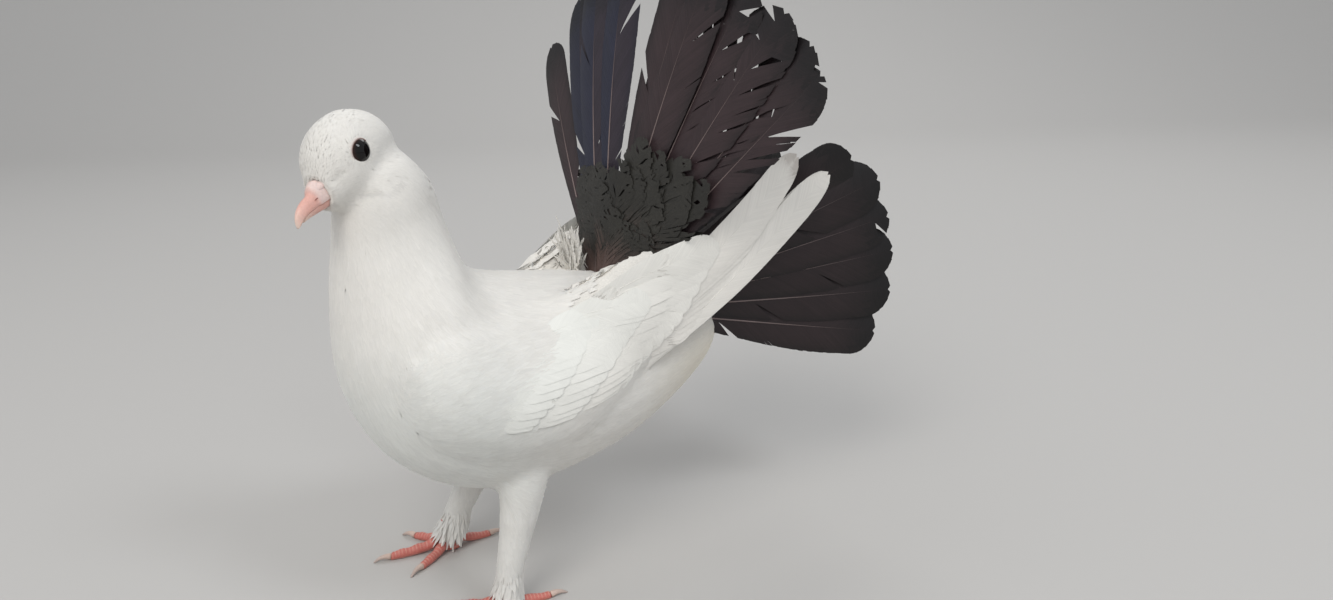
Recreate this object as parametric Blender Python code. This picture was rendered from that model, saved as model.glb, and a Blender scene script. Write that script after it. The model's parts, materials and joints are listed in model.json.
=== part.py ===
"""Fantail pigeon, life size, standing: white body, black fan tail, head turned to its left.

The bird faces -Y, its left side is +X, and it stands on z = 0. Sizes are in millimetres until
solid() scales them to metres. "Forward" in a name is the distance towards the bill, so y = -forward.
"""

from math import cos, pi, radians, sin

import bmesh
import bpy
import numpy as np
from mathutils import Matrix
from mathutils.bvhtree import BVHTree

MM = 0.001
GAP = 0.3  # kept between two nodes that touch
FLAT = 1.4  # degrees within which neighbouring faces of a joined piece are taken as one plane

# The body from tail end to neck: the back and the belly line in the plane of symmetry, each as
# (forward, height), then the half width there and how far down the widest place sits.
BODY = (
    ((-110, 93), (-107, 86), 5, 0.0),
    ((-104, 102), (-98, 74), 15, 0.0),
    ((-90, 111), (-80, 61), 24, 0.0),
    ((-66, 119), (-59, 51), 33, -0.05),
    ((-42, 124), (-36, 45), 39, -0.08),
    ((-20, 127), (-10, 42), 43, -0.08),
    ((-6, 130), (13, 47), 44, -0.06),
    ((0, 135), (33, 60), 42.5, -0.04),
    ((2, 140), (45, 78), 38, 0.0),
    ((3.5, 145), (50.5, 100), 31.5, 0.0),
    ((5, 151), (49.7, 124), 24, 0.0),
    ((6.5, 158), (47.5, 142), 19.5, 0.0),
    ((9.9, 168), (45, 156), 17.8, 0.0),
    ((17, 177.5), (43, 168), 13.5, 0.0),
)
NECK_START = 8.6  # where the neck parts from the torso, counted in rows of BODY
NECK_END = 11.6
BODY_RINGS = 30
BODY_SIDES = 26

# The head along its own forward axis: (forward, top, bottom, half width) about its centre.
HEAD = (
    (-18.6, 4.0, -3.0, 3.0),
    (-17.2, 9.0, -8.0, 7.4),
    (-12.5, 14.0, -13.0, 11.2),
    (-5.0, 16.8, -15.6, 13.3),
    (3.0, 16.8, -15.8, 13.6),
    (9.0, 14.8, -14.6, 12.4),
    (13.6, 11.0, -12.4, 9.9),
    (16.8, 6.4, -10.2, 7.0),
    (19.2, 1.2, -8.0, 4.4),
)
HEAD_CENTRE = (36.5, 175.5)  # forward, height
HEAD_YAW = 38.0  # degrees to the bird's left
HEAD_PITCH = 20.0  # degrees down
HEAD_ROLL = 2.0

# The bill in the head's frame: (forward, top, bottom, half width).
UPPER_BILL = (
    (12.5, 2.4, -3.8, 3.2),
    (16.5, 2.7, -4.0, 4.0),
    (19.0, 3.1, -4.1, 4.1),
    (21.6, 2.4, -4.1, 3.6),
    (23.4, 0.4, -4.1, 2.6),
    (26.8, -0.2, -4.2, 2.3),
    (30.0, -1.5, -4.8, 1.8),
    (32.2, -3.6, -6.4, 1.0),
    (32.9, -5.7, -6.9, 0.5),
)
LOWER_BILL = (
    (12.5, -4.2, -7.4, 2.8),
    (18.0, -4.4, -7.5, 3.4),
    (23.0, -4.5, -7.0, 2.4),
    (27.3, -4.8, -6.5, 1.9),
    (29.8, -5.5, -6.5, 1.1),
)
TOMIA = 0.85  # how flat the two halves are where they meet

EYE_FORWARD = 4.1
EYE_UP = 6.2
EYE_OUT = 8.7  # centre of the ball from the head's middle plane
EYE_RADIUS = 5.3
EYE_TURN = 2.0  # degrees that the eye looks forward of straight out
EYE_TILT = 0.1  # how far it looks up, as a share of straight out
LID_RADIUS = 4.7
LID_THICK = 0.65

# Legs: (side, foot centre x, foot centre forward, hip forward, direction of the middle toe).
LEGS = (
    ("left", 29.0, 2.0, -11.0, 6.0),
    ("right", -29.0, 7.0, -20.0, -7.0),
)
ANKLE = 11.0  # height where the feathered leg parts from the foot
TOES = (  # name, angle from the middle toe in degrees, length, radius at the root
    ("inner", -42.0, 20.0, 2.3),
    ("middle", 0.0, 26.0, 2.5),
    ("outer", 46.0, 19.5, 2.3),
    ("hind", 172.0, 17.5, 2.1),
)
CLAW = 6.5
# The shin's small feathers: angle from straight ahead, start along the shin, how far out the tip
# hangs, its height, and the half width.
LEG_FEATHERS = (
    (20, 0.35, 11.0, 8.5, 3.4),
    (75, 0.3, 10.5, 8.0, 3.4),
    (128, 0.35, 11.0, 9.0, 3.4),
    (180, 0.1, 12.5, 16.0, 3.6),
    (232, 0.35, 11.0, 9.0, 3.4),
    (285, 0.3, 10.5, 8.0, 3.4),
    (332, 0.35, 11.0, 8.5, 3.4),
    (155, -0.1, 10.0, 24.0, 3.4),
    (205, -0.1, 10.0, 25.0, 3.4),
)

WHITE = (0.86, 0.84, 0.78, 1)
BLACK = (0.035, 0.028, 0.03, 1)
SALMON = (0.62, 0.27, 0.23, 1)
RED = (0.55, 0.12, 0.09, 1)
HORN = (0.72, 0.62, 0.55, 1)
EYE_BROWN = (0.03, 0.012, 0.008, 1)


def clear_scene():
    for old in list(bpy.data.objects):
        bpy.data.objects.remove(old, do_unlink=True)


def material(name, colour, roughness):
    """One Principled material, made once and shared by the nodes of its kind."""
    found = bpy.data.materials.get(name)
    if found:
        return found
    made = bpy.data.materials.new(name)
    made.use_nodes = True
    shader = made.node_tree.nodes["Principled BSDF"]
    shader.inputs["Base Color"].default_value = colour
    shader.inputs["Roughness"].default_value = roughness
    made.diffuse_color = colour
    return made


def solid(name, vertices, faces, finish=None):
    """An object from millimetre points, with its faces turned outwards."""
    mesh = bpy.data.meshes.new(name)
    mesh.from_pydata([tuple(float(c) * MM for c in v) for v in vertices], [], faces)
    work = bmesh.new()
    work.from_mesh(mesh)
    bmesh.ops.recalc_face_normals(work, faces=work.faces)
    if work.calc_volume(signed=True) < 0:
        bmesh.ops.reverse_faces(work, faces=work.faces)
    bmesh.ops.triangulate(work, faces=work.faces)
    work.to_mesh(mesh)
    work.free()
    made = bpy.data.objects.new(name, mesh)
    bpy.context.scene.collection.objects.link(made)
    if finish:
        mesh.materials.append(finish)
    return made


def loft(rings):
    """Points and faces of a closed skin over rings of equal count, with a flat cap at each end."""
    count = len(rings[0])
    vertices = [p for ring in rings for p in ring]
    faces = []
    for i in range(len(rings) - 1):
        for j in range(count):
            k = (j + 1) % count
            a, b = i * count, (i + 1) * count
            faces.append((a + j, a + k, b + k, b + j))
    last = (len(rings) - 1) * count
    faces.append(tuple(range(count)))
    faces.append(tuple(last + j for j in reversed(range(count))))
    return vertices, faces


def spline(rows, t):
    """A smooth curve through rows of numbers, read at t, counted in rows."""
    rows = np.asarray(rows, float)
    i = int(min(max(t, 0), len(rows) - 1.000001))
    u = t - i
    p0 = rows[max(i - 1, 0)]
    p1 = rows[i]
    p2 = rows[i + 1]
    p3 = rows[min(i + 2, len(rows) - 1)]
    return 0.5 * (2 * p1 + (p2 - p0) * u + (2 * p0 - 5 * p1 + 4 * p2 - p3) * u * u
                  + (3 * p1 - p0 - 3 * p2 + p3) * u ** 3)


def smoothstep(low, high, value):
    t = min(max((value - low) / (high - low), 0.0), 1.0)
    return t * t * (3 - 2 * t)


def body_ring(t, grow=0.0):
    """The ring of the body at row t, pushed outwards by grow."""
    rows = [(*top, *bottom, wide, skew) for top, bottom, wide, skew in BODY]
    top_f, top_h, bottom_f, bottom_h, wide, skew = spline(rows, t)
    middle = np.array([(top_f + bottom_f) / 2, (top_h + bottom_h) / 2])
    half = np.array([(top_f - bottom_f) / 2, (top_h - bottom_h) / 2])
    length = np.hypot(*half)
    half *= (length + grow) / length
    ring = []
    for j in range(BODY_SIDES):
        angle = 2 * pi * j / BODY_SIDES
        lift = sin(angle)
        x = (wide + grow) * cos(angle) * (1 + skew * lift)
        forward, height = middle + half * lift
        ring.append((x, -forward, height))
    return ring


def shifted(ring, step):
    return [tuple(np.add(p, step)) for p in ring]


def ring_normal(ring):
    points = np.asarray(ring)
    middle = points.mean(axis=0)
    normal = np.cross(points[0] - middle, points[len(points) // 4] - middle)
    return normal / np.linalg.norm(normal)


def body_rings(start, end, grow=0.0):
    count = max(3, round((end - start) / (len(BODY) - 1) * BODY_RINGS))
    return [body_ring(start + (end - start) * i / count, grow) for i in range(count + 1)]


def body_piece(name, start, end, finish=None, grow=0.0):
    """A length of the body between two rows, half a gap short where another piece begins."""
    rings = body_rings(start, end, grow)
    step = GAP / 2
    if start > 0 and not grow:
        away = np.asarray(rings[1]).mean(axis=0) - np.asarray(rings[0]).mean(axis=0)
        normal = ring_normal(rings[0])
        rings[0] = shifted(rings[0], normal * step * np.sign(normal @ away))
    if end < len(BODY) - 1 and not grow:
        away = np.asarray(rings[-2]).mean(axis=0) - np.asarray(rings[-1]).mean(axis=0)
        normal = ring_normal(rings[-1])
        rings[-1] = shifted(rings[-1], normal * step * np.sign(normal @ away))
    return solid(name, *loft(rings), finish)


def rotation(yaw=0.0, pitch=0.0, roll=0.0):
    """Turns a frame of (forward, left, up) columns, angles in degrees."""
    y, p, r = radians(yaw), radians(pitch), radians(roll)
    about_up = np.array([[cos(y), -sin(y), 0], [sin(y), cos(y), 0], [0, 0, 1]])
    about_left = np.array([[cos(p), 0, -sin(p)], [0, 1, 0], [sin(p), 0, cos(p)]]).T
    about_forward = np.array([[1, 0, 0], [0, cos(r), -sin(r)], [0, sin(r), cos(r)]])
    return about_up @ about_left @ about_forward


HEAD_TURN = rotation(HEAD_YAW, HEAD_PITCH, HEAD_ROLL)


def head_point(forward, left, up):
    """From the head's own frame to the bird's."""
    f, l, u = HEAD_TURN @ np.array([forward, left, up])
    return (l, -(f + HEAD_CENTRE[0]), u + HEAD_CENTRE[1])


def oval_loft(rows, sides, place, grow=0.0, steps=2, flat=0.0):
    """A loft over (forward, top, bottom, half width) rows, through place().

    flat moves the widest place of each ring towards its bottom, or towards its top below zero.
    """
    rings = []
    total = (len(rows) - 1) * steps
    for i in range(total + 1):
        forward, top, bottom, wide = spline(rows, i / steps)
        if i == 0:
            forward -= grow
        if i == total:
            forward += grow
        ring = []
        for j in range(sides):
            angle = 2 * pi * j / sides
            lift = sin(angle)
            lift = -flat + (1 + flat if lift > 0 else 1 - flat) * lift
            up = (top + bottom) / 2 + ((top - bottom) / 2 + grow) * lift
            ring.append(place(forward, (wide + grow) * cos(angle), up))
        rings.append(ring)
    return loft(rings)


def sphere(radius, sides=14, stacks=8):
    """Rings of a ball about its own axis, with small flat caps at the poles."""
    rings = []
    for i in range(stacks + 1):
        angle = -pi / 2 + 0.12 + (pi - 0.24) * i / stacks
        rings.append([(radius * cos(angle) * cos(2 * pi * j / sides),
                       radius * cos(angle) * sin(2 * pi * j / sides),
                       radius * sin(angle)) for j in range(sides)])
    return rings


def torus(major, minor, squash, sides=14, around=5):
    rings = []
    for i in range(sides):
        a = 2 * pi * i / sides
        rings.append([((major + minor * cos(b)) * cos(a), (major * squash + minor * cos(b)) * sin(a),
                       minor * sin(b)) for b in (2 * pi * k / around for k in range(around))])
    return rings


def closed_loop(rings):
    count = len(rings[0])
    vertices = [p for ring in rings for p in ring]
    faces = []
    for i in range(len(rings)):
        n = (i + 1) % len(rings)
        for j in range(count):
            k = (j + 1) % count
            faces.append((i * count + j, i * count + k, n * count + k, n * count + j))
    return vertices, faces


def largest_surface(made):
    """Keeps only the biggest closed surface of an object's mesh."""
    work = bmesh.new()
    work.from_mesh(made.data)
    bmesh.ops.triangulate(work, faces=work.faces)
    left = set(work.faces)
    groups = []
    while left:
        seed = left.pop()
        group = [seed]
        queue = [seed]
        while queue:
            face = queue.pop()
            for edge in face.edges:
                for other in edge.link_faces:
                    if other in left:
                        left.discard(other)
                        group.append(other)
                        queue.append(other)
        groups.append(group)
    groups.sort(key=lambda g: -sum(f.calc_area() for f in g))
    drop = [f for group in groups[1:] for f in group]
    if drop:
        bmesh.ops.delete(work, geom=drop, context="FACES")
    loose = [v for v in work.verts if not v.link_faces]
    bmesh.ops.delete(work, geom=loose, context="VERTS")
    bmesh.ops.dissolve_limit(work, angle_limit=radians(FLAT), verts=work.verts, edges=work.edges)
    bmesh.ops.triangulate(work, faces=work.faces)
    work.to_mesh(made.data)
    work.free()


def apply_modifiers(made):
    graph = bpy.context.evaluated_depsgraph_get()
    mesh = bpy.data.meshes.new_from_object(made.evaluated_get(graph))
    made.modifiers.clear()
    made.data = mesh


def boolean(base, others, operation, solver="EXACT"):
    """Joins or cuts base with a list of closed objects, which are removed."""
    group = bpy.data.collections.new("tools")
    bpy.context.scene.collection.children.link(group)
    for other in others:
        bpy.context.scene.collection.objects.unlink(other)
        group.objects.link(other)
    step = base.modifiers.new(operation, "BOOLEAN")
    step.operation = operation
    step.solver = solver
    step.operand_type = "COLLECTION"
    step.collection = group
    bpy.context.view_layer.update()
    apply_modifiers(base)
    for other in others:
        bpy.data.objects.remove(other, do_unlink=True)
    bpy.data.collections.remove(group)
    largest_surface(base)
    return base


def body_cutter(start=0.0, end=len(BODY) - 1.0):
    return body_piece("body_cutter", start, end, grow=GAP)


def eye_frame(side):
    """Centre of the eye and its axes, the last one looking out, in the bird's frame."""
    turn = radians(EYE_TURN)
    out = np.array([sin(turn), side * cos(turn), EYE_TILT])
    out /= np.linalg.norm(out)
    ahead = np.array([cos(turn), -side * sin(turn), 0.0])
    up = np.cross(out, ahead)
    if up[2] < 0:
        up = -up
    centre = np.array([EYE_FORWARD, side * EYE_OUT, EYE_UP])
    return centre, ahead, up, out


def eye_solid(name, side, radius, finish=None):
    centre, ahead, up, out = eye_frame(side)
    rings = [[head_point(*(centre + p[0] * ahead + p[1] * up + p[2] * out)) for p in ring]
             for ring in sphere(radius)]
    return solid(name, *loft(rings), finish)


def lid_ring(side):
    centre, ahead, up, out = eye_frame(side)
    lift = (EYE_RADIUS ** 2 - LID_RADIUS ** 2) ** 0.5 + 0.35
    rings = [[head_point(*(centre + p[0] * ahead + p[1] * up + (p[2] + lift) * out)) for p in ring]
             for ring in torus(LID_RADIUS, LID_THICK, 0.97)]
    return solid("lid", *closed_loop(rings))


def make_head(white):
    head = solid("head", *oval_loft(HEAD, 22, head_point), white)
    stub = body_piece("neck_stub", NECK_END, len(BODY) - 1.0)
    boolean(head, [stub, lid_ring(1), lid_ring(-1)], "UNION")
    cuts = [eye_solid("socket", 1, EYE_RADIUS + GAP), eye_solid("socket", -1, EYE_RADIUS + GAP)]
    cuts.append(solid("bill_room", *oval_loft(UPPER_BILL[:4], 10, head_point, GAP, 1, TOMIA)))
    cuts.append(solid("bill_room", *oval_loft(LOWER_BILL[:3], 10, head_point, GAP, 1, -TOMIA)))
    for side in (1, -1):
        cuts.append(gape_groove(side))
    boolean(head, cuts, "DIFFERENCE")
    boolean(head, [body_piece("neck_room", NECK_END - 2.0, NECK_END + 0.04, grow=3.0)], "DIFFERENCE")
    return head


def gape_groove(side):
    """The line of the mouth where it runs back over the cheek."""
    rings = []
    for i in range(5):
        t = i / 4
        forward = 19.0 - 8.0 * t
        left = side * (3.2 + 7.6 * t ** 0.8)
        up = -4.1 - 0.3 * t
        tall = 0.45 - 0.25 * t
        deep = 1.6
        rings.append([head_point(forward, left - side * deep, up - tall),
                      head_point(forward, left + side * deep, up - tall),
                      head_point(forward, left + side * deep, up + tall),
                      head_point(forward, left - side * deep, up + tall)])
    return solid("gape", *loft(rings))


def make_bill(salmon):
    upper = solid("bill_upper", *oval_loft(UPPER_BILL, 10, head_point, flat=TOMIA), salmon)
    slits = []
    for side in (1, -1):
        rings = []
        for i in range(4):
            t = i / 3
            forward = 19.8 + 4.2 * t
            left = side * (3.6 - 1.1 * t)
            up = -0.8 - 0.5 * t
            size = 0.45 * sin(pi * (0.15 + 0.7 * t))
            rings.append([head_point(forward, left + side * a, up + b) for a, b in
                          ((-0.7, -size), (1.6, -size), (1.6, size), (-0.7, size))])
        slits.append(solid("nostril", *loft(rings)))
    boolean(upper, slits, "DIFFERENCE")
    lower = solid("bill_lower", *oval_loft(LOWER_BILL, 10, head_point, steps=1, flat=-TOMIA), salmon)
    return upper, lower


def tube(route, radii, sides, flat_floor=False):
    """A round closed tube along points, each with its own radius; flat_floor keeps it above z = 0."""
    route = np.asarray(route, float)
    rings = []
    for i, (point, radius) in enumerate(zip(route, radii)):
        along = route[min(i + 1, len(route) - 1)] - route[max(i - 1, 0)]
        along /= np.linalg.norm(along)
        side = np.cross(along, (0.0, 0.0, 1.0))
        if np.linalg.norm(side) < 0.2:
            side = np.array([1.0, 0.0, 0.0])
        side /= np.linalg.norm(side)
        up = np.cross(side, along)
        ring = []
        for j in range(sides):
            a = 2 * pi * (j + 0.5) / sides
            p = point + radius * (cos(a) * side + sin(a) * up)
            if flat_floor:
                p[2] = max(p[2], 0.0)
            ring.append(tuple(p))
        rings.append(ring)
    return loft(rings)


def toe_route(centre, heading, length, radius):
    """Points and radii of one toe, from the ankle out along the floor, thick at its joints."""
    direction = np.array([sin(heading), -cos(heading), 0.0])
    route, radii = [], []
    count = 6
    for i in range(count):
        t = i / (count - 1)
        swell = 1 + 0.1 * cos(2 * pi * (2.5 * t + 0.1))
        size = radius * (1 - 0.3 * t) * swell
        height = size * 0.86 + 4.5 * (1 - t) ** 3
        route.append(centre + direction * length * t + np.array([0, 0, height]))
        radii.append(size)
    return route, radii, direction


def make_foot(side_name, x, forward, heading, finish, horn):
    """The toes and the ankle as one solid, and a claw beyond each toe."""
    mirror = 1 if side_name == "left" else -1
    centre = np.array([x, -forward, 0.0])
    pieces, claws = [], []
    for toe, angle, length, radius in TOES:
        turn = radians(heading + mirror * angle)
        route, radii, direction = toe_route(centre, turn, length, radius)
        pieces.append(solid("toe", *tube(route, radii, 8, flat_floor=True)))
        tip = route[-1] + direction * (GAP + 0.15)
        claw_route, claw_radii = [], []
        for i in range(4):
            t = i / 3
            drop = np.array([0, 0, 0.9 * sin(pi * t * 0.7) - 2.1 * t * t])
            claw_route.append(tip + direction * CLAW * t + drop)
            claw_radii.append(1.25 * (1 - 0.8 * t))
        claw = solid(f"claw_{side_name}_{toe}", *tube(claw_route, claw_radii, 6, flat_floor=True), horn)
        claws.append(claw)
    shank = solid("shank", *tube([centre + (0, 0, h) for h in (2.0, 6.0, ANKLE - GAP / 2)],
                                 (4.4, 3.9, 3.5), 12))
    base = solid(f"foot_{side_name}", *tube([centre + (0, 0, h) for h in (0.0, 2.0, 4.6)],
                                            (4.2, 4.6, 4.2), 12), finish)
    boolean(base, [shank] + pieces, "UNION")
    return base, claws


def make_leg(side_name, x, forward, hip_forward, heading, finish):
    """The feathered leg from inside the belly down to the ankle."""
    route = []
    radii = []
    knee = np.array([x * 0.86, -hip_forward, 62.0])
    ankle = np.array([x, -forward, ANKLE + GAP / 2])
    for t, radius in ((0.0, 10.5), (0.25, 9.6), (0.45, 8.2), (0.62, 6.2), (0.8, 6.0), (1.0, 6.2)):
        route.append(knee + (ankle - knee) * t)
        radii.append(radius)
    rings = []
    for point, radius in zip(route, radii):
        rings.append([(point[0] + radius * cos(a), point[1] + radius * 1.1 * sin(a), point[2])
                      for a in (2 * pi * k / 12 for k in range(12))])
    leg = solid(f"leg_{side_name}", *loft(rings), finish)
    shin = route[2]
    fringe = [leg_feather(shin, ankle, *row) for row in LEG_FEATHERS]
    boolean(leg, fringe, "UNION")
    return boolean(leg, [body_cutter()] + foot_room(side_name, x, forward, heading), "DIFFERENCE")


def leg_feather(shin, ankle, angle, start, spread, height, width):
    """A small feather of the shin: its angle round the leg, where it starts as a share of the
    shin, and how far out and how high its tip hangs."""
    turn = radians(angle)
    outward = np.array([sin(turn), -cos(turn), 0.0])
    root = shin + (ankle - shin) * start + outward * 3.5
    tip = np.array([ankle[0], ankle[1], height]) + outward * spread
    middle = (root + tip) / 2 + outward * 2.5
    along = (tip - root) / np.linalg.norm(tip - root)
    across = np.cross(along, outward)
    across /= np.linalg.norm(across)
    normal = np.cross(across, along)
    if normal @ outward < 0:
        normal = -normal
    centres = [root, (middle + tip) / 2 + outward * 0.8, tip]
    widths = [(width * share, width * share) for share in (0.8, 1.0, 0.3)]
    return vane(centres, [across] * 3, [normal] * 3, widths, thick=0.7)


def foot_room(side_name, x, forward, heading):
    """The foot's toes and shank with a gap round them, to cut the feathers that hang over them."""
    mirror = 1 if side_name == "left" else -1
    centre = np.array([x, -forward, 0.0])
    pieces = []
    for _, angle, length, radius in TOES:
        route, radii, _ = toe_route(centre, radians(heading + mirror * angle), length, radius)
        wide = [r + 2 * GAP for r in radii]
        pieces.append(solid("toe_room", *tube(route, wide, 8)))
    heights = (1.0, 2.0, 6.0, ANKLE + GAP / 2)
    pieces.append(solid("shank_room", *tube([centre + (0, 0, h) for h in heights],
                                            (4.8, 5.0, 4.8, 4.4), 12)))
    return pieces


# The folded wing from wrist to tip: (forward, top height, bottom height, out, thickness).
WING = (
    (40, 103, 91, 18, 9.0),
    (32, 115, 76, 20, 12.0),
    (18, 121, 66, 22, 13.0),
    (-4, 122, 60, 24, 13.0),
    (-28, 121, 62, 28, 12.0),
    (-45, 127, 74, 32, 9.0),
    (-60, 134, 87, 34, 5.0),
    (-76, 136, 98, 34, 3.4),
    (-92, 141, 107, 33, 2.6),
    (-112, 156, 120, 32, 2.2),
    (-131, 165, 134, 31, 1.8),
    (-145, 163, 150, 30, 1.2),
)
WING_HEIGHTS = (0.0, 0.05, 0.2, 0.4, 0.6, 0.8, 0.95, 1.0)  # down a ring of the arm, as shares
ARM_END = 6.5  # the row of WING where the fleshy arm and its small feathers stop
WING_LIFT = 3.0  # how far the arm stands off the flank low down; it is thicker above
WING_DIVE = 6.0  # how far its rim is drawn into the flank


class Flank:
    """The side of the body, read by forward and height."""

    def __init__(self):
        rings = body_rings(0.0, len(BODY) - 1.0)
        self.tree = BVHTree.FromPolygons(*loft(rings))

    def out(self, forward, height):
        hit = self.tree.ray_cast((200.0, -forward, height), (-1.0, 0.0, 0.0))[0]
        return hit[0] if hit else 0.0


def wing_out(flank, forward, height, lift):
    """How far out the wing lies: off the flank where there is one, else on its own line."""
    own = spline(WING, wing_row(forward))[3]
    body = flank.out(forward, height)
    return (body + own + ((body - own) ** 2 + 9.0) ** 0.5) / 2 + lift


def wing_row(forward):
    """The row of WING at a distance forward."""
    marks = [-row[0] for row in WING]
    return float(np.interp(-forward, marks, range(len(WING))))


def wing_ring(flank, t, side):
    """A ring round the wing at row t."""
    forward, top, bottom, _, thick = spline(WING, t)
    edge = smoothstep(-0.2, 1.4, t)
    outer, inner = [], []
    for v in WING_HEIGHTS:
        height = top + (bottom - top) * v
        bulge = max(sin(pi * v), 0.0) ** 0.35
        lift = (WING_LIFT + 4.0 * (1 - v) + WING_DIVE) * bulge * edge - WING_DIVE
        out = wing_out(flank, forward, height, lift)
        depth = thick * (0.3 + 0.7 * bulge)
        outer.append((side * out, -forward, height))
        inner.append((side * (out - depth), -forward, height))
    return outer + inner[::-1]


def vane(centres, sides, normals, widths, thick=0.55, ridge=0.2):
    """A closed tapering feather: rings of six points, split alike on both faces.

    centres, sides and normals are points along the shaft, the way to its left edge and the way
    out of its upper face; widths holds the reach to the left and the right edge at each ring.
    """
    vertices, faces = [], []
    last = len(centres) - 1
    for i, (centre, side, normal, (left, right)) in enumerate(zip(centres, sides, normals, widths)):
        taper = 1.0 if i < last else 0.7
        edge = normal * thick * 0.5 * taper
        crest = normal * (thick * 0.5 + ridge * (1 - i / last)) * taper
        vertices += [centre + side * left + edge, centre + crest, centre - side * right + edge,
                     centre - side * right - edge, centre - crest, centre + side * left - edge]
    for i in range(last):
        for j in range(6):
            k = (j + 1) % 6
            a, b = i * 6, i * 6 + 6
            if j < 3:
                faces += [(a + j, a + k, b + k), (a + j, b + k, b + j)]
            else:
                faces += [(a + j, a + k, b + j), (a + k, b + k, b + j)]
    end = last * 6
    for base, flip in ((0, True), (end, False)):
        cap = [(base, base + 1, base + 5), (base + 1, base + 4, base + 5),
               (base + 1, base + 3, base + 4), (base + 1, base + 2, base + 3)]
        faces += [f[::-1] if flip else f for f in cap]
    return solid("vane", vertices, faces)


# Ring places along a feather and the half width there, as shares of its length and full width.
BLADE = ((0.0, 0.3), (0.42, 0.78), (0.82, 1.0), (0.95, 0.66), (1.0, 0.22))
SHORT_BLADE = ((0.0, 0.5), (0.5, 0.95), (0.86, 0.86), (1.0, 0.3))


def wing_feather(flank, side, root, tip, width, layer, blade, grow=0.0):
    """A feather of the folded wing, from root to tip, both as (forward, height).

    layer is how far out it lies, and grow is the room added all round it.
    """
    root, tip = np.array(root, float), np.array(tip, float)
    along = (tip - root) / np.linalg.norm(tip - root)
    tip = tip + along * grow
    across = np.array([-along[1], along[0]])
    if across[1] < 0:
        across = -across
    centres, sides, normals, widths = [], [], [], []
    sink = WING_SINK if blade is SHORT_BLADE else LONG_SINK

    def place(point, lift):
        out = wing_out(flank, point[0], point[1], lift)
        return np.array([side * out, -point[0], point[1]])

    for share, wide in blade:
        spot = root + (tip - root) * share
        lift = layer - sink * (1 - smoothstep(0.0, 0.45, share))
        half = width * wide
        middle = place(spot, lift)
        upper = place(spot + across * half, lift - WING_SHINGLE * half)
        lower = place(spot - across * half, lift + WING_SHINGLE * half)
        edge = (upper - lower) / 2
        size = np.linalg.norm(edge)
        forward_step = np.array([0.0, -along[0], along[1]])
        normal = np.cross(forward_step, edge)
        normal /= np.linalg.norm(normal)
        if normal[0] * side < 0:
            normal = -normal
        centres.append((middle * 2 + upper + lower) / 4)
        sides.append(edge / size)
        normals.append(normal)
        widths.append((size + grow, size + grow))
    return vane(centres, sides, normals, widths, 0.55 + 2 * grow)


# The rows of wing feathers, inner layer first: how many, where the lowest, the middle and the
# highest root and tip lie, each as forward and height, the half width, and the layer.
WING_TIERS = (
    (5, ((-46, 82), (-46, 88), (-48, 96)), ((-141, 149), (-146, 154.5), (-139, 160)), 7.5, 0.8),
    (6, ((-16, 82), (-28, 98), (-38, 118)), ((-78, 106), (-102, 132), (-127, 166)), 9.0, 4.6),
    (6, ((-2, 78), (-16, 94), (-32, 120)), ((-46, 88), (-72, 110), (-86, 130)), 9.0, 6.0),
    (5, ((14, 80), (2, 96), (-16, 113)), ((-20, 82), (-44, 101), (-60, 119)), 9.5, 7.0),
)
WING_STEP = 0.75  # how much further out each feather lies than the one below it
WING_SHINGLE = 0.04  # how far a feather's lower edge stands out, for each millimetre of width
WING_SINK = 8.0  # how far the root of a small feather is drawn in
LONG_SINK = 2.0  # the same for the long ones, which the small ones cover


def wing_vanes(flank, side, grow=0.0):
    vanes = []
    for count, roots, tips, width, layer in WING_TIERS:
        blade = BLADE if layer < 5 else SHORT_BLADE
        for i in range(count):
            t = 2 * i / (count - 1)
            vanes.append(wing_feather(flank, side, spline(roots, t), spline(tips, t), width,
                                      layer + WING_STEP * i, blade, grow))
    return vanes


def make_wing(name, side, finish, flank):
    """The arm with its small feathers, and tiers of vanes out to the tips."""
    steps = 8
    rings = [wing_ring(flank, ARM_END * i / steps, side) for i in range(steps + 1)]
    wing = solid(name, *loft(rings), finish)
    boolean(wing, wing_vanes(flank, side), "UNION", "MANIFOLD")
    return boolean(wing, [body_cutter()], "DIFFERENCE", "MANIFOLD")


# The fan: feathers spring from one place in the rump.
FAN_ROOT = np.array([0.0, 58.0, 105.0])
FAN_LEAN = 7.0  # degrees that the fan's middle leans back
FAN_START = 12.0
# Each half: its side, and for each feather its angle from the fan's middle, its length, its half
# width and how far in front of the fan it lies.
FAN_HALVES = (
    ("left", 1, ((6.5, 140, 12.5, -0.6), (14, 141, 14, 0.8), (22, 139, 13, -0.4), (29.7, 138, 14, 0.8),
                 (36.5, 135, 12.5, 0.0), (42, 131, 11.5, 0.4),
                 (63.5, 120, 12.5, 0), (70, 129, 12.5, 0), (77.5, 131, 12.5, 0), (85, 131, 12.5, 0),
                 (93, 129, 12.5, 0), (101, 122, 12.5, 0))),
    ("right", -1, ((7, 140, 12.5, -0.5), (17, 141, 15, 0.8), (26, 139, 12.5, -0.5), (40.5, 136, 10, 0.0),
                   (63, 124, 12.5, 0), (70, 130, 12.5, 0), (78, 131, 12.5, 0), (86, 131, 12.5, 0),
                   (94, 128, 12.5, 0), (102, 121, 12.5, 0))),
)
FAN_LENGTH = 137.0
FAN_CURL = 7.0  # how far the longest tips bend back
FAN_SHINGLE = 7.0  # degrees that each vane is turned to lie over the next
# Tiers of coverts: their angles, how far they reach, half width, and place in front of the fan.
FAN_COVERTS = (
    ((12, 25, 38), 76, 10.5, 3.4),
    ((9, 21, 33, 45), 59, 9.5, 5.2),
    ((18, 40, 84), 66, 11.0, -3.4),
)


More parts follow.
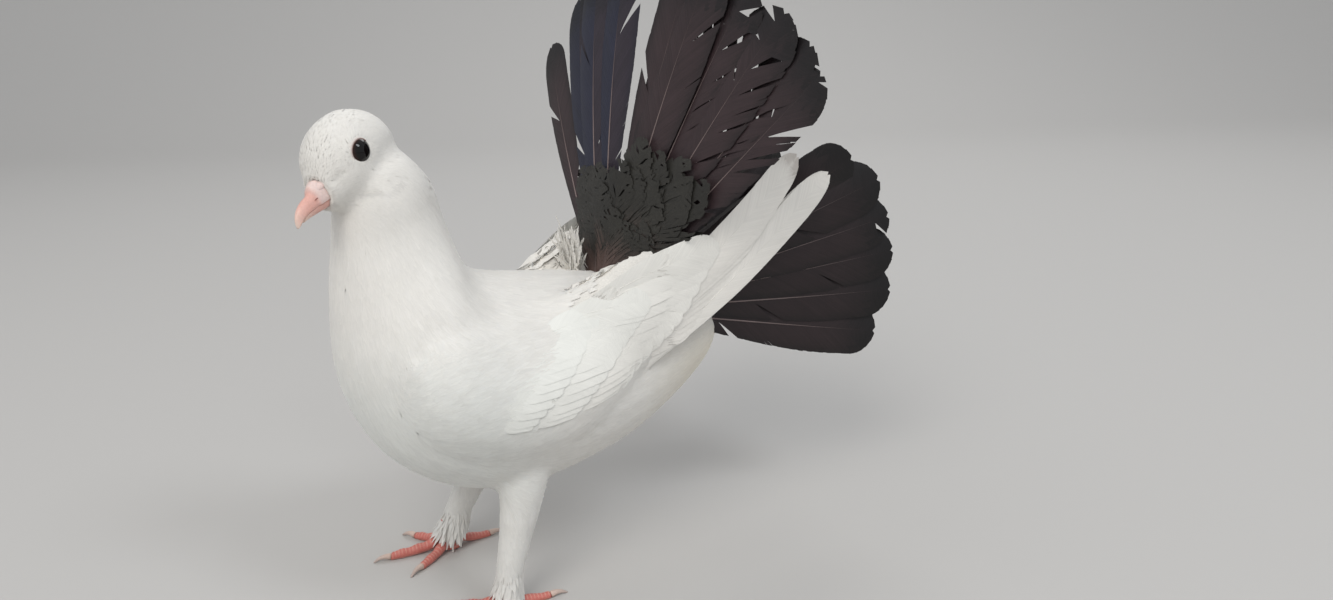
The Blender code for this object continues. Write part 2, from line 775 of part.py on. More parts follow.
def fan_frame(side, angle):
    """The way a tail feather points, the way across it and the way out of its front face."""
    def pointing(a):
        if side > 0:
            sweep = 24.0 + 52.0 * smoothstep(45, 63, a)
        else:
            sweep = 66.0 * smoothstep(44, 63, a)
        turn, back, lean = radians(a), radians(sweep), radians(FAN_LEAN)
        upward = np.array([0.0, sin(lean), cos(lean)])
        outward = np.array([side * cos(back), sin(back), 0.0])
        return upward * cos(turn) + outward * sin(turn)

    direction = pointing(angle)
    sideways = pointing(angle + 2.0) - pointing(angle - 2.0)
    sideways -= direction * (sideways @ direction)
    sideways /= np.linalg.norm(sideways)
    front = np.cross(direction, sideways) * -side
    return direction, sideways, front


def fan_feather(side, angle, start, end, width, offset, shingle):
    """A straight feather of the fan between two distances from its root."""
    direction, sideways, front = fan_frame(side, angle)
    turn = radians(shingle)
    across = sideways * cos(turn) + front * sin(turn)
    normal = front * cos(turn) - sideways * sin(turn)
    centres, widths = [], []
    for share, wide in BLADE:
        reach = start + (end - start) * share
        curl = -FAN_CURL * (reach / FAN_LENGTH) ** 3
        centres.append(FAN_ROOT + direction * reach + front * (offset + curl))
        widths.append((width * wide, width * wide * 0.9))
    rings = len(BLADE)
    return vane(centres, [across] * rings, [normal] * rings, widths)


def fan_core(name, side, low, high, finish):
    """The thick root of some of the fan, in which its feathers stand."""
    rings = []
    for angle in np.linspace(low, high, 7):
        direction, _, front = fan_frame(side, angle)
        outline = ((FAN_START, 4.6), (24, 4.0), (40, 2.2), (54, 0.4))
        upper = [tuple(FAN_ROOT + direction * reach + front * half) for reach, half in outline]
        lower = [tuple(FAN_ROOT + direction * reach - front * half) for reach, half in outline]
        rings.append(upper + lower[::-1])
    return solid(name, *loft(rings), finish)


def make_tail(side_name, side, feathers, finish, flank):
    """One half of the fan, with its coverts in front and behind."""
    tail = fan_core(f"tail_{side_name}", side, feathers[0][0] - 2, feathers[-1][0], finish)
    vanes = []
    for angle, length, width, offset in feathers:
        vanes.append(fan_feather(side, angle, FAN_START + 6, length, width, offset, FAN_SHINGLE))
    for angles, end, width, offset in FAN_COVERTS:
        for angle in angles:
            vanes.append(fan_feather(side, angle, FAN_START + 4, end, width, offset, FAN_SHINGLE))
    boolean(tail, vanes, "UNION")
    halfway = solid("other_half", *box((-side * 100, 60, 150), (200 + GAP, 400, 400)))
    boolean(tail, [body_cutter(), wing_room(flank, side), halfway], "DIFFERENCE")
    return boolean(tail, wing_vanes(flank, side, GAP + 0.05), "DIFFERENCE")


def box(centre, size):
    x, y, z = (c / 2 for c in size)
    ring = [(-x, -y), (x, -y), (x, y), (-x, y)]
    return loft([[tuple(np.add(centre, (a, b, level))) for a, b in ring] for level in (-z, z)])


def wing_room(flank, side):
    """The space that a wing takes up behind the body, with a gap round it."""
    rings = []
    for t in np.linspace(4.0, len(WING) - 1, 18):
        forward, top, bottom, _, _ = spline(WING, t)
        rise = 1.5
        within = -13.0 + 11.8 * smoothstep(66, 95, -forward)
        outer, inner = [], []
        for v in np.linspace(0, 1, 5):
            height = top + rise + (bottom - top - rise - 2.0) * v
            outer.append((side * wing_out(flank, forward, height, 14.0), -forward, height))
            inner.append((side * wing_out(flank, forward, height, within), -forward, height))
        rings.append(outer + inner[::-1])
    return solid("wing_room", *loft(rings))


def centre_on_floor():
    """Moves every node so that the origin is under the middle of the whole bird's box."""
    nodes = [node for node in bpy.context.scene.objects if node.type == "MESH"]
    corners = np.array([vertex.co for node in nodes for vertex in node.data.vertices])
    middle = (corners.min(axis=0) + corners.max(axis=0)) / 2
    for node in nodes:
        node.data.transform(Matrix.Translation((-middle[0], -middle[1], 0.0)))


def main():
    clear_scene()
    white = material("white_feather", WHITE, 0.75)
    black = material("black_feather", BLACK, 0.6)
    salmon = material("bill_horn", SALMON, 0.45)
    red = material("red_skin", RED, 0.5)
    horn = material("claw_horn", HORN, 0.35)
    brown = material("eye", EYE_BROWN, 0.06)
    body_piece("torso", 0.0, NECK_START, white)
    body_piece("neck", NECK_START, NECK_END, white)
    make_head(white)
    make_bill(salmon)
    eye_solid("eye_left", 1, EYE_RADIUS, brown)
    eye_solid("eye_right", -1, EYE_RADIUS, brown)
    for side_name, x, forward, hip_forward, heading in LEGS:
        make_leg(side_name, x, forward, hip_forward, heading, white)
        make_foot(side_name, x, forward, heading, red, horn)
    flank = Flank()
    make_wing("wing_left", 1, white, flank)
    make_wing("wing_right", -1, white, flank)
    for side_name, side, feathers in FAN_HALVES:
        make_tail(side_name, side, feathers, black, flank)
    centre_on_floor()


main()
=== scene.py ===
"""Looks of the fantail pigeon: skin, feathers, bill, eyes, feet, floor, light and camera.

Sizes are in millimetres in the bird's own frame, which faces -Y with its left side at +X.
to_row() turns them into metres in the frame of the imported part.
"""

import json
from itertools import product
from math import cos, pi, radians, sin

import bmesh
import bpy
import numpy as np
from mathutils import Matrix, Vector
from mathutils.bvhtree import BVHTree

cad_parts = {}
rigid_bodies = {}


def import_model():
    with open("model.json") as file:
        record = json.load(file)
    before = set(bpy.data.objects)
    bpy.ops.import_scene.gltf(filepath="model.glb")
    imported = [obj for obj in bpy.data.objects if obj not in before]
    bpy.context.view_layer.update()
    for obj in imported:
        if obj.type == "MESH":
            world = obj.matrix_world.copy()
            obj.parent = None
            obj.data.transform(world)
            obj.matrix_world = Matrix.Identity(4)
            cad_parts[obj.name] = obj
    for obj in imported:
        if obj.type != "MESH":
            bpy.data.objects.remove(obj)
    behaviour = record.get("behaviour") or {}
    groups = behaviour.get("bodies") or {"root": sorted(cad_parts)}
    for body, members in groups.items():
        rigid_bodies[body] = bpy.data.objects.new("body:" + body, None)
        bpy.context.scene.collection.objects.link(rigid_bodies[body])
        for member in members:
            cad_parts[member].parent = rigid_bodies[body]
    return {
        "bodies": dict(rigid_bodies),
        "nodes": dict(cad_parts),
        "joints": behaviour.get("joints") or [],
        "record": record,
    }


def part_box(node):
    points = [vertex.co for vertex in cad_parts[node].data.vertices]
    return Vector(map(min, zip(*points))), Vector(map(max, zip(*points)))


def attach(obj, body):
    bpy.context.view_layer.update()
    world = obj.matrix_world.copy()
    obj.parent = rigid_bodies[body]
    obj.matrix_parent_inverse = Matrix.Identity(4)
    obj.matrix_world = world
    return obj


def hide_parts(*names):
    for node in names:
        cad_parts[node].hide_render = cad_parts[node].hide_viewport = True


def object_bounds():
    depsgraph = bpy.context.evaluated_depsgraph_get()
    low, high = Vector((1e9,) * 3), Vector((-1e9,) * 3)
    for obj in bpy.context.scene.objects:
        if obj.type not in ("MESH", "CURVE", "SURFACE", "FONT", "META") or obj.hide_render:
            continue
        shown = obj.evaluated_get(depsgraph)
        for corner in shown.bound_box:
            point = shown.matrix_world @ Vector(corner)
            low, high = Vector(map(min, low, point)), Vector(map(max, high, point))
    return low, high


MM = 0.001
TORSO_MIDDLE = np.array([0.0, 30.602, 92.550])  # of the torso's box, in the bird's frame
HEAD_CENTRE = (36.5, 175.5)
HEAD_YAW = 38.0
HEAD_PITCH = 20.0
HEAD_ROLL = 2.0
SIDES = (("left", 1), ("right", -1))


def load_frame():
    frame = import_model()
    box = [list(corner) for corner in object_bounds()]
    low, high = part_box("torso")
    middle = (np.array(low) + np.array(high)) / 2
    return frame, box, middle - TORSO_MIDDLE * MM


FRAME, CAD_BOX, SHIFT = load_frame()


def to_row(points):
    """Millimetres in the bird's frame to metres in the row frame."""
    return np.asarray(points, float) * MM + SHIFT


def to_bird(points):
    return (np.asarray(points, float) - SHIFT) / MM


def unit(vectors):
    vectors = np.asarray(vectors, float)
    return vectors / np.maximum(np.linalg.norm(vectors, axis=-1, keepdims=True), 1e-9)


def spline(rows, t):
    """A smooth curve through rows of numbers, read at t, counted in rows."""
    rows = np.asarray(rows, float)
    i = int(min(max(t, 0), len(rows) - 1.000001))
    u = t - i
    p0 = rows[max(i - 1, 0)]
    p1 = rows[i]
    p2 = rows[i + 1]
    p3 = rows[min(i + 2, len(rows) - 1)]
    return 0.5 * (2 * p1 + (p2 - p0) * u + (2 * p0 - 5 * p1 + 4 * p2 - p3) * u * u
                  + (3 * p1 - p0 - 3 * p2 + p3) * u ** 3)


def smoothstep(low, high, value):
    t = np.clip((np.asarray(value, float) - low) / (high - low), 0.0, 1.0)
    return t * t * (3 - 2 * t)


def mix(a, b, share):
    share = np.asarray(share, float)[..., None]
    return np.asarray(a, float) * (1 - share) + np.asarray(b, float) * share


def turns(count):
    """Angles evenly round a circle."""
    return 2 * pi * np.arange(count) / count


def rotation(yaw, pitch, roll):
    y, p, r = radians(yaw), radians(pitch), radians(roll)
    about_up = np.array([[cos(y), -sin(y), 0], [sin(y), cos(y), 0], [0, 0, 1]])
    about_left = np.array([[cos(p), 0, sin(p)], [0, 1, 0], [-sin(p), 0, cos(p)]])
    about_forward = np.array([[1, 0, 0], [0, cos(r), -sin(r)], [0, sin(r), cos(r)]])
    return about_up @ about_left @ about_forward


HEAD_TURN = rotation(HEAD_YAW, HEAD_PITCH, HEAD_ROLL)


def head_point(forward, left, up):
    f, l, u = HEAD_TURN @ np.array([forward, left, up])
    return np.array([l, -(f + HEAD_CENTRE[0]), u + HEAD_CENTRE[1]])


def head_coordinates(points):
    """Points of the bird's frame as (forward, left, up) of the head."""
    points = np.asarray(points, float)
    f = -points[..., 1] - HEAD_CENTRE[0]
    raw = np.stack([f, points[..., 0], points[..., 2] - HEAD_CENTRE[1]], axis=-1)
    return raw @ HEAD_TURN


# Materials

def new_material(name, roughness, specular=0.3, sheen=0.0, subsurface=0.0, coat=0.0):
    made = bpy.data.materials.new(name)
    made.use_nodes = True
    shader = made.node_tree.nodes["Principled BSDF"]
    values = {
        "Roughness": roughness, "Specular IOR Level": specular,
        "Sheen Weight": sheen, "Sheen Roughness": 0.4,
        "Subsurface Weight": subsurface, "Subsurface Radius": (1.0, 0.75, 0.55), "Subsurface Scale": 0.0015,
        "Coat Weight": coat, "Coat Roughness": 0.05,
    }
    for key, value in values.items():
        shader.inputs[key].default_value = value
    return made, made.node_tree, shader


def node(tree, kind, **values):
    made = tree.nodes.new(kind)
    for key, value in values.items():
        if key in made.inputs:
            made.inputs[key].default_value = value
        else:
            setattr(made, key, value)
    return made


def factor(tree, noise, low, high, depth):
    """Noise between low and high as a factor that differs from 1 by depth at most."""
    made = node(tree, "ShaderNodeMapRange", **{"From Min": low, "From Max": high,
                                               "To Min": 1.0 - depth, "To Max": 1.0 + depth})
    tree.links.new(noise.outputs["Fac"], made.inputs["Value"])
    return made.outputs["Result"]


def tinted(name, roughness, grain=2200.0, grain_depth=0.03, bump=0.15, mottle=0.05, streak=None, **more):
    """A material whose colour is the mesh's tint, with fine mottling and bump.

    streak stretches the grain along the feather by the attribute vane, which holds the place
    across and along the feather and a number of its own.
    """
    made, tree, shader = new_material(name, roughness, **more)
    tint = node(tree, "ShaderNodeAttribute", attribute_name="tint")
    place = node(tree, "ShaderNodeTexCoord")
    broad = node(tree, "ShaderNodeTexNoise", Scale=90.0, Detail=3.0)
    fine = node(tree, "ShaderNodeTexNoise", Scale=1.0 if streak else grain, Detail=2.0)
    tree.links.new(place.outputs["Object"], broad.inputs["Vector"])
    if streak:
        attribute = node(tree, "ShaderNodeAttribute", attribute_name="vane")
        stretch = node(tree, "ShaderNodeVectorMath", operation="MULTIPLY")
        stretch.inputs[1].default_value = streak
        tree.links.new(attribute.outputs["Vector"], stretch.inputs[0])
        tree.links.new(stretch.outputs["Vector"], fine.inputs["Vector"])
    else:
        tree.links.new(place.outputs["Object"], fine.inputs["Vector"])
    shades = (factor(tree, broad, 0.3, 0.7, mottle), factor(tree, fine, 0.35, 0.65, grain_depth))
    both = node(tree, "ShaderNodeMath", operation="MULTIPLY")
    for i, shade in enumerate(shades):
        tree.links.new(shade, both.inputs[i])
    scaled = node(tree, "ShaderNodeVectorMath", operation="SCALE")
    tree.links.new(tint.outputs["Color"], scaled.inputs[0])
    tree.links.new(both.outputs["Value"], scaled.inputs["Scale"])
    tree.links.new(scaled.outputs["Vector"], shader.inputs["Base Color"])
    if bump:
        relief = node(tree, "ShaderNodeBump", Strength=bump, Distance=0.0004)
        tree.links.new(fine.outputs["Fac"], relief.inputs["Height"])
        tree.links.new(relief.outputs["Normal"], shader.inputs["Normal"])
    return made


# Meshes

class Pile:
    """Closed lofts over four-sided rings, gathered into one mesh with its tint and bake map."""

    def __init__(self):
        self.tables = []
        self.quads = []
        self.count = 0

    def add(self, rings, tint, bake, vane, normals):
        """rings is (n, k, 4, 3) in millimetres; the others end in 3, 2, 3 and 3 numbers."""
        n, k = rings.shape[:2]
        inward = wound_inward(rings)
        tables = [np.broadcast_to(table, (n, k, 4, size)).copy()
                  for table, size in ((rings, 3), (tint, 3), (bake, 2), (vane, 3), (normals, 3))]
        for table in tables[:4]:
            table[inward] = table[inward][:, :, ::-1]
        self.tables.append([table.reshape(n * k * 4, -1) for table in tables])
        around = np.arange(4)
        after = (around + 1) % 4
        faces = []
        for i in range(k - 1):
            a, b = i * 4, i * 4 + 4
            faces.append(np.stack([a + around, a + after, b + after, b + around], axis=1))
        faces.append(np.array([[3, 2, 1, 0]]))
        faces.append(np.array([[0, 1, 2, 3]]) + (k - 1) * 4)
        faces = np.concatenate(faces)
        quads = faces[None] + (np.arange(n) * k * 4)[:, None, None] + self.count
        self.quads.append(quads.reshape(-1, 4))
        self.count += n * k * 4

    def build(self, name, material, nodes=()):
        points, tints, maps, vanes, normals = (np.concatenate(table) for table in zip(*self.tables))
        points = to_row(points)
        quads = np.concatenate(self.quads)
        made = mesh_object(name, points, quads, material)
        add_tint(made.data, tints)
        layer = made.data.uv_layers.new(name="OFBake")
        layer.data.foreach_set("uv", maps[quads.ravel()].astype(np.float32).ravel())
        layer = made.data.attributes.new("vane", "FLOAT_VECTOR", "POINT")
        layer.data.foreach_set("vector", vanes.ravel())
        made.data.normals_split_custom_set(facing(points, quads, unit(normals)).tolist())
        settle(made, nodes)


LEAST_LEAN = 0.35  # how far a corner's normal looks to the side its face looks to


def facing(points, quads, normals):
    """A normal for each corner of each face: its point's, leant to the side the face looks to."""
    corners = points[quads]
    flat = unit(np.cross(corners[:, 2] - corners[:, 0], corners[:, 3] - corners[:, 1]))[:, None]
    each = normals[quads]
    along = (each * flat).sum(axis=2, keepdims=True)
    return unit(each + np.maximum(LEAST_LEAN - along, 0.0) * flat).reshape(-1, 3)


def wound_inward(rings):
    """Which lofts have rings that run the wrong way round for faces that look out."""
    middle = rings[:, rings.shape[1] // 2]
    turn = np.cross(middle[:, 2] - middle[:, 0], middle[:, 3] - middle[:, 1])
    along = rings[:, -1].mean(axis=1) - rings[:, 0].mean(axis=1)
    return (turn * along).sum(axis=1) < 0


def mesh_object(name, points, quads, material):
    mesh = bpy.data.meshes.new(name)
    mesh.vertices.add(len(points))
    mesh.vertices.foreach_set("co", np.asarray(points, float).ravel())
    mesh.loops.add(quads.size)
    mesh.loops.foreach_set("vertex_index", quads.ravel().astype(np.int32))
    mesh.polygons.add(len(quads))
    mesh.polygons.foreach_set("loop_start", np.arange(0, quads.size, quads.shape[1], dtype=np.int32))
    mesh.polygons.foreach_set("use_smooth", np.ones(len(quads), bool))
    mesh.update(calc_edges=True)
    mesh.materials.append(material)
    return placed(name, mesh)


def placed(name, data):
    """An object of its own in the scene."""
    made = bpy.data.objects.new(name, data)
    bpy.context.scene.collection.objects.link(made)
    return made


def add_tint(mesh, colours):
    colours = np.column_stack([np.clip(colours, 0, 1), np.ones(len(colours))])
    layer = mesh.color_attributes.new("tint", "FLOAT_COLOR", "POINT")
    layer.data.foreach_set("color", colours.astype(np.float32).ravel())


def settle(made, nodes=()):
    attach(made, "root")
    if nodes:
        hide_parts(*nodes)


def read(items, key, size, kind=float):
    """An attribute of a mesh's items as an array with size numbers in each row."""
    numbers = np.empty(len(items) * size, kind)
    items.foreach_get(key, numbers)
    return numbers.reshape(-1, size)


def wrap(work, rings, closed=False):
    """Adds rings, in millimetres, to a bmesh, and the faces between them: the vertices by ring."""
    layers = [[work.verts.new(p) for p in ring] for ring in to_row(rings)]
    n = len(layers[0])
    for a, b in zip(layers, layers[1:] + layers[:1] if closed else layers[1:]):
        for j in range(n):
            m = (j + 1) % n
            work.faces.new((a[j], a[m], b[m], b[j]))
    return layers


def finished(work, name):
    """A mesh from a bmesh, with faces that look out."""
    bmesh.ops.recalc_face_normals(work, faces=work.faces)
    mesh = bpy.data.meshes.new(name)
    work.to_mesh(mesh)
    work.free()
    return mesh


def loft_object(name, rings, colours, material, slot, nodes=(), closed=False):
    """A smooth closed skin over rings of equal count, in millimetres."""
    colours = np.broadcast_to(colours, np.shape(rings)).reshape(-1, 3)
    work = bmesh.new()
    layers = wrap(work, rings, closed)
    if not closed:
        for ring in (layers[0], layers[-1]):
            middle = work.verts.new(np.mean([vert.co for vert in ring], axis=0))
            for a, b in zip(ring, ring[1:] + ring[:1]):
                work.faces.new((middle, a, b))
        colours = np.concatenate([colours, [colours[0], colours[-1]]])
    for face in work.faces:
        face.smooth = True
    mesh = finished(work, name)
    mesh.materials.append(material)
    add_tint(mesh, colours)
    settle(placed(name, mesh), nodes)


# Folded wing and flank

# From wrist to tip: (forward, top height, bottom height, out, thickness).
WING = (
    (40, 103, 91, 18, 9.0),
    (32, 115, 76, 20, 12.0),
    (18, 121, 66, 22, 13.0),
    (-4, 122, 60, 24, 13.0),
    (-28, 121, 62, 28, 12.0),
    (-45, 127, 74, 32, 9.0),
    (-60, 134, 87, 34, 5.0),
    (-76, 136, 98, 34, 3.4),
    (-92, 141, 107, 33, 2.6),
    (-112, 156, 120, 32, 2.2),
    (-131, 165, 134, 31, 1.8),
    (-145, 163, 150, 30, 1.2),
)
ARM_END = 6.5  # the row of WING where the fleshy arm stops
WING_LIFT = 3.0
WING_DIVE = 6.0
FAR_OUT = 200.0  # where rays that look for the surface start
BLEND = 9.0  # how softly the wing's own line runs into the flank


class Flank:
    def __init__(self):
        mesh = FRAME["nodes"]["torso"].data
        points = to_bird(read(mesh.vertices, "co", 3))
        self.tree = BVHTree.FromPolygons(points.tolist(), [p.vertices[:] for p in mesh.polygons])

    def out(self, forward, height):
        hit = self.tree.ray_cast((FAR_OUT, -forward, height), (-1.0, 0.0, 0.0))[0]
        return hit[0] if hit else 0.0


def wing_out(flank, forward, height, lift):
    own = np.interp(-forward, [-row[0] for row in WING], [row[3] for row in WING])
    body = flank.out(forward, height)
    return (body + own + ((body - own) ** 2 + BLEND) ** 0.5) / 2 + lift


def wing_ring(flank, t, side):
    """A ring round the fleshy part of the folded wing at row t."""
    forward, top, bottom, _, thick = spline(WING, t)
    edge = float(smoothstep(-0.2, 1.4, t))
    outer, inner = [], []
    for v in np.linspace(0, 1, 14):
        height = top + (bottom - top) * v
        bulge = max(sin(pi * v), 0.0) ** 0.35
        lift = (WING_LIFT + 4.0 * (1 - v) + WING_DIVE) * bulge * edge - WING_DIVE
        out = wing_out(flank, forward, height, lift)
        depth = max(thick, 6.0) * (0.55 + 0.45 * bulge)
        outer.append((side * out, -forward, height))
        inner.append((side * (out - depth), -forward, height))
    return outer + inner[::-1]


# Skin

VOXEL = 0.0011
FLESH = ("torso", "neck", "head")
LEG_ROUTES = {  # hip, shin and ankle of the left leg, at side 1, and of the right leg
    1: ((24.9, 11.0, 62.0), (26.8, 6.0, 39.0), (29.0, -2.0, 10.0)),
    -1: ((-24.9, 20.0, 62.0), (-26.8, 9.0, 39.0), (-29.0, -7.0, 10.0)),
}
LEG_TAPER = ((0, 0.7, 1.2, 2), (11.5, 9.5, 6.6, 4.6))  # places along a leg's route and radii there
SOCKET = (4.9, 4.6)  # half width and half depth of the flesh behind an eye


def tube_rings(route, radii, sides):
    """Rings of a round tube through points."""
    route = np.asarray(route, float)
    rings = []
    for i, (point, radius) in enumerate(zip(route, radii)):
        along = unit(route[min(i + 1, len(route) - 1)] - route[max(i - 1, 0)])
        side = np.cross(along, (0.0, 0.0, 1.0))
        if np.linalg.norm(side) < 0.2:
            side = np.array([1.0, 0.0, 0.0])
        side = unit(side)
        up = np.cross(side, along)
        angles = 2 * pi * (np.arange(sides) + 0.5) / sides
        rings.append(point + radius * (np.cos(angles)[:, None] * side + np.sin(angles)[:, None] * up))
    return np.array(rings)


def joined_flesh():
    """The fleshy nodes, the arms of the wings and plain legs, gathered in one mesh."""
    work = bmesh.new()
    flank = Flank()
    for name in FLESH:
        work.from_mesh(FRAME["nodes"][name].data)
    along_leg = np.linspace(0, 2, 9)
    for side in (1, -1):
        arm = [wing_ring(flank, ARM_END * i / 40, side) for i in range(41)]
        route = [spline(LEG_ROUTES[side], t) for t in along_leg]
        leg = tube_rings(route, np.interp(along_leg, *LEG_TAPER), 16)
        ball = [eye_ring(side, *SOCKET, p, 16) for p in pi * np.linspace(0.03, 0.97, 12)]
        for rings in (arm, leg, ball):
            layers = wrap(work, rings)
            work.faces.new(layers[0][::-1])
            work.faces.new(layers[-1])
    return finished(work, "flesh")


BILL_ROOT = (16.5, 0.0, -2.5)  # in the head's frame


def crown(head):
    """How near points in the head's frame are to its top and brow, from 0 to 1."""
    return smoothstep(8.0, 14.0, head @ np.array([0.5, 0.0, 0.87]))


def coat_depth(points):
    """How deep the skin lies under the feathers' outside, in millimetres."""
    head = head_coordinates(points)
    near_head = np.linalg.norm(head, axis=-1)
    depth = 0.35 + 0.75 * smoothstep(16, 34, near_head)
    depth = depth * np.where(points[..., 2] < 40, 0.7, 1.0)
    bill = np.linalg.norm(head - np.array(BILL_ROOT), axis=-1)
    return depth - 0.7 * smoothstep(9.0, 4.5, bill) - 0.25 * crown(head)


def evened(values, edges, rounds):
    """Values at the points of a mesh, averaged with their neighbours a number of times."""
    values = values.copy()
    ends = np.concatenate([edges, edges[:, ::-1]])
    count = np.bincount(ends[:, 0], minlength=len(values))[:, None]
    for _ in range(rounds):
        around = np.stack([np.bincount(ends[:, 0], column[ends[:, 1]], len(values))
                           for column in values.T], axis=1)
        values += 0.5 * (around / np.maximum(count, 1) - values)
    return values


NAPE = (5.0, -20.5, 175.0)
EVENING = (14, 45, 22)  # rounds of averaging for the skin, the nape and what the skin lost by it

# Folds in the plumage of the head, in its own frame: points, depth and width. Tufts along them are painted
# darker as shade.
CREASES = (
    (((17.0, 6.0, 1.6), (15.8, 7.2, 2.5), (14.5, 8.3, 3.3), (13.2, 9.4, 3.5)), 0.5, 0.8),
    (((11.2, 9.0, -7.0), (9.4, 11.6, -7.4), (8.1, 13.2, -7.3), (6.0, 15.6, -8.6), (4.0, 17.0, -8.2),
      (1.4, 17.6, -7.2)), 0.8, 1.3),
)


def crease(points):
    """How far the plumage is drawn in along the folds of the head, in millimetres."""
    head = head_coordinates(points)
    head[..., 1] = np.abs(head[..., 1])
    drawn = np.zeros(len(points))
    for line, deep, wide in CREASES:
        line = np.array(line)
        for a, b in zip(line, line[1:]):
            share = np.clip((head - a) @ (b - a) / ((b - a) @ (b - a)), 0, 1)[:, None]
            gap = np.linalg.norm(head - a - share * (b - a), axis=1)
            drawn = np.maximum(drawn, deep * smoothstep(wide * 1.6, 0, gap))
    return drawn


def nape(points):
    """Where the back of the head runs smoothly into the neck, from 0 to 1."""
    sided = np.abs(points[:, 0] - NAPE[0])
    gap = np.sqrt(sided ** 2 * 0.5 + (points[:, 1] - NAPE[1]) ** 2 + (points[:, 2] - NAPE[2]) ** 2)
    return smoothstep(11, 4, gap)


def make_skin(material):
    made = placed("skin", joined_flesh())
    shell = made.modifiers.new("voxels", "REMESH")
    shell.mode = "VOXEL"
    shell.voxel_size = VOXEL
    graph = bpy.context.evaluated_depsgraph_get()
    mesh = bpy.data.meshes.new_from_object(made.evaluated_get(graph))
    made.modifiers.clear()
    made.data = mesh
    mesh.name = "skin"
    before = read(mesh.vertices, "co", 3)
    edges = read(mesh.edges, "vertices", 2, np.int32)
    all_over, at_nape, of_loss = EVENING
    points = evened(before, edges, all_over)
    soft = nape(to_bird(points))
    points = mix(points, evened(points, edges, at_nape), soft)
    mesh.vertices.foreach_set("co", points.ravel())
    mesh.update()
    normals = read(mesh.vertices, "normal", 3)
    lost = evened(((before - points) * normals).sum(axis=1)[:, None], edges, of_loss)[:, 0]
    bird = to_bird(points)
    points += normals * (lost * (1 - 0.8 * soft) - (coat_depth(bird) + crease(bird)) * MM)[:, None]
    mesh.vertices.foreach_set("co", points.ravel())
    mesh.polygons.foreach_set("use_smooth", np.ones(len(mesh.polygons), bool))
    mesh.update()
    mesh.materials.clear()
    mesh.materials.append(material)
    add_tint(mesh, coat_colour(to_bird(points)) * 0.93)
    unwrap(made)
    settle(made, (*FLESH, "leg_left", "leg_right"))
    return Surface(mesh)


def unwrap(made):
    """The skin's bake map, an unwrap of its own shape."""
    bpy.ops.object.select_all(action="DESELECT")
    made.select_set(True)
    bpy.context.view_layer.objects.active = made
    made.data.uv_layers.new(name="OFBake")
    bpy.ops.object.mode_set(mode="EDIT")
    bpy.ops.mesh.select_all(action="SELECT")
    bpy.ops.uv.smart_project(angle_limit=radians(66), island_margin=0.001)
    bpy.ops.object.mode_set(mode="OBJECT")


class Surface:
    """The skin as a surface that feathers are laid on."""

    def __init__(self, mesh):
        mesh.calc_loop_triangles()
        self.triangles = read(mesh.loop_triangles, "vertices", 3, np.int32)
        self.points = to_bird(read(mesh.vertices, "co", 3))
        self.vertex_normals = read(mesh.vertices, "normal", 3)
        self.tree = BVHTree.FromPolygons(self.points.tolist(), self.triangles.tolist())
        loops = read(mesh.loop_triangles, "loops", 3, np.int32)
        self.places = read(mesh.uv_layers["OFBake"].data, "uv", 2)[loops].mean(axis=1)

    def scatter(self, spacing, rng):
        """Seeded points over the surface about spacing(point) apart: points, normals, map places."""
        a, b, c = (self.points[self.triangles[:, i]] for i in range(3))
        area = np.linalg.norm(np.cross(b - a, c - a), axis=1) / 2
        middle = (a + b + c) / 3
        apart = spacing(middle)
        want = area / apart ** 2
        count = rng.poisson(want * 1.9)
        chosen = np.repeat(np.arange(len(area)), count)
        rng.shuffle(chosen)
        u, v = rng.random((2, len(chosen)))
        flip = u + v > 1
        u[flip], v[flip] = 1 - u[flip], 1 - v[flip]
        u, v = u[:, None], v[:, None]
        points = a[chosen] * (1 - u - v) + b[chosen] * u + c[chosen] * v
        keep = thinned(points, apart[chosen] * 0.6)
        chosen, points = chosen[keep], points[keep]
        normals = unit(self.vertex_normals[self.triangles[chosen]].mean(axis=1))
        return points, normals, self.places[chosen]

    def nearest(self, points):
        """The nearest places on the surface and the normals there."""
        spots = np.empty_like(points)
        normals = np.empty_like(points)
        for i, point in enumerate(points):
            spot, _, face, _ = self.tree.find_nearest(point)
            spots[i] = spot
            normals[i] = self.vertex_normals[self.triangles[face]].mean(axis=0)
        return spots, unit(normals)


def thinned(points, apart):
    """Which points to keep so that none lies too close to one kept before it."""
    grid = {}
    keep = np.zeros(len(points), bool)
    around = list(product((-1, 0, 1), repeat=3))
    for i, (x, y, z) in enumerate(np.floor(points / apart.max()).astype(int).tolist()):
        near = (j for dx, dy, dz in around for j in grid.get((x + dx, y + dy, z + dz), ()))
        if not any((gap := points[i] - points[j]) @ gap < apart[i] ** 2 for j in near):
            keep[i] = True
            grid.setdefault((x, y, z), []).append(i)
    return keep


# Coat

WHITE = (0.80, 0.775, 0.725)
COOL = (0.755, 0.765, 0.725)
YELLOW = (0.79, 0.715, 0.57)
# painted shade under the body
UNDERSIDE_SHADE_GREY = (0.70, 0.67, 0.63)
LEG_TOP = 42.0
BOOT_TOP = 21.0


def coat_colour(points):
    """The white of the body, cooler on the lower breast and yellower at the rear flank, and greyed low down
    under the body by painted shade.
    """
    y, z = points[..., 1], points[..., 2]
    colour = mix(WHITE, COOL, smoothstep(130, 85, z) * smoothstep(25, -20, y) * 0.8)
    colour = mix(colour, YELLOW, smoothstep(45, 95, y) * smoothstep(105, 75, z) * 0.75)
    # painted shade: greyer low down under the body and on the legs
    return mix(colour, UNDERSIDE_SHADE_GREY, smoothstep(58, 44, z) * 0.35)


# The way the coat lies: points down the middle of the bird, from the bill to the tail.
LIE = np.array([head_point(17, 0, -3), head_point(2, 0, 0), (0, -27, 158), (0, -26, 138), (0, -18, 112),
                (0, 4, 92), (0, 40, 84), (0, 80, 90), (0, 118, 98)])


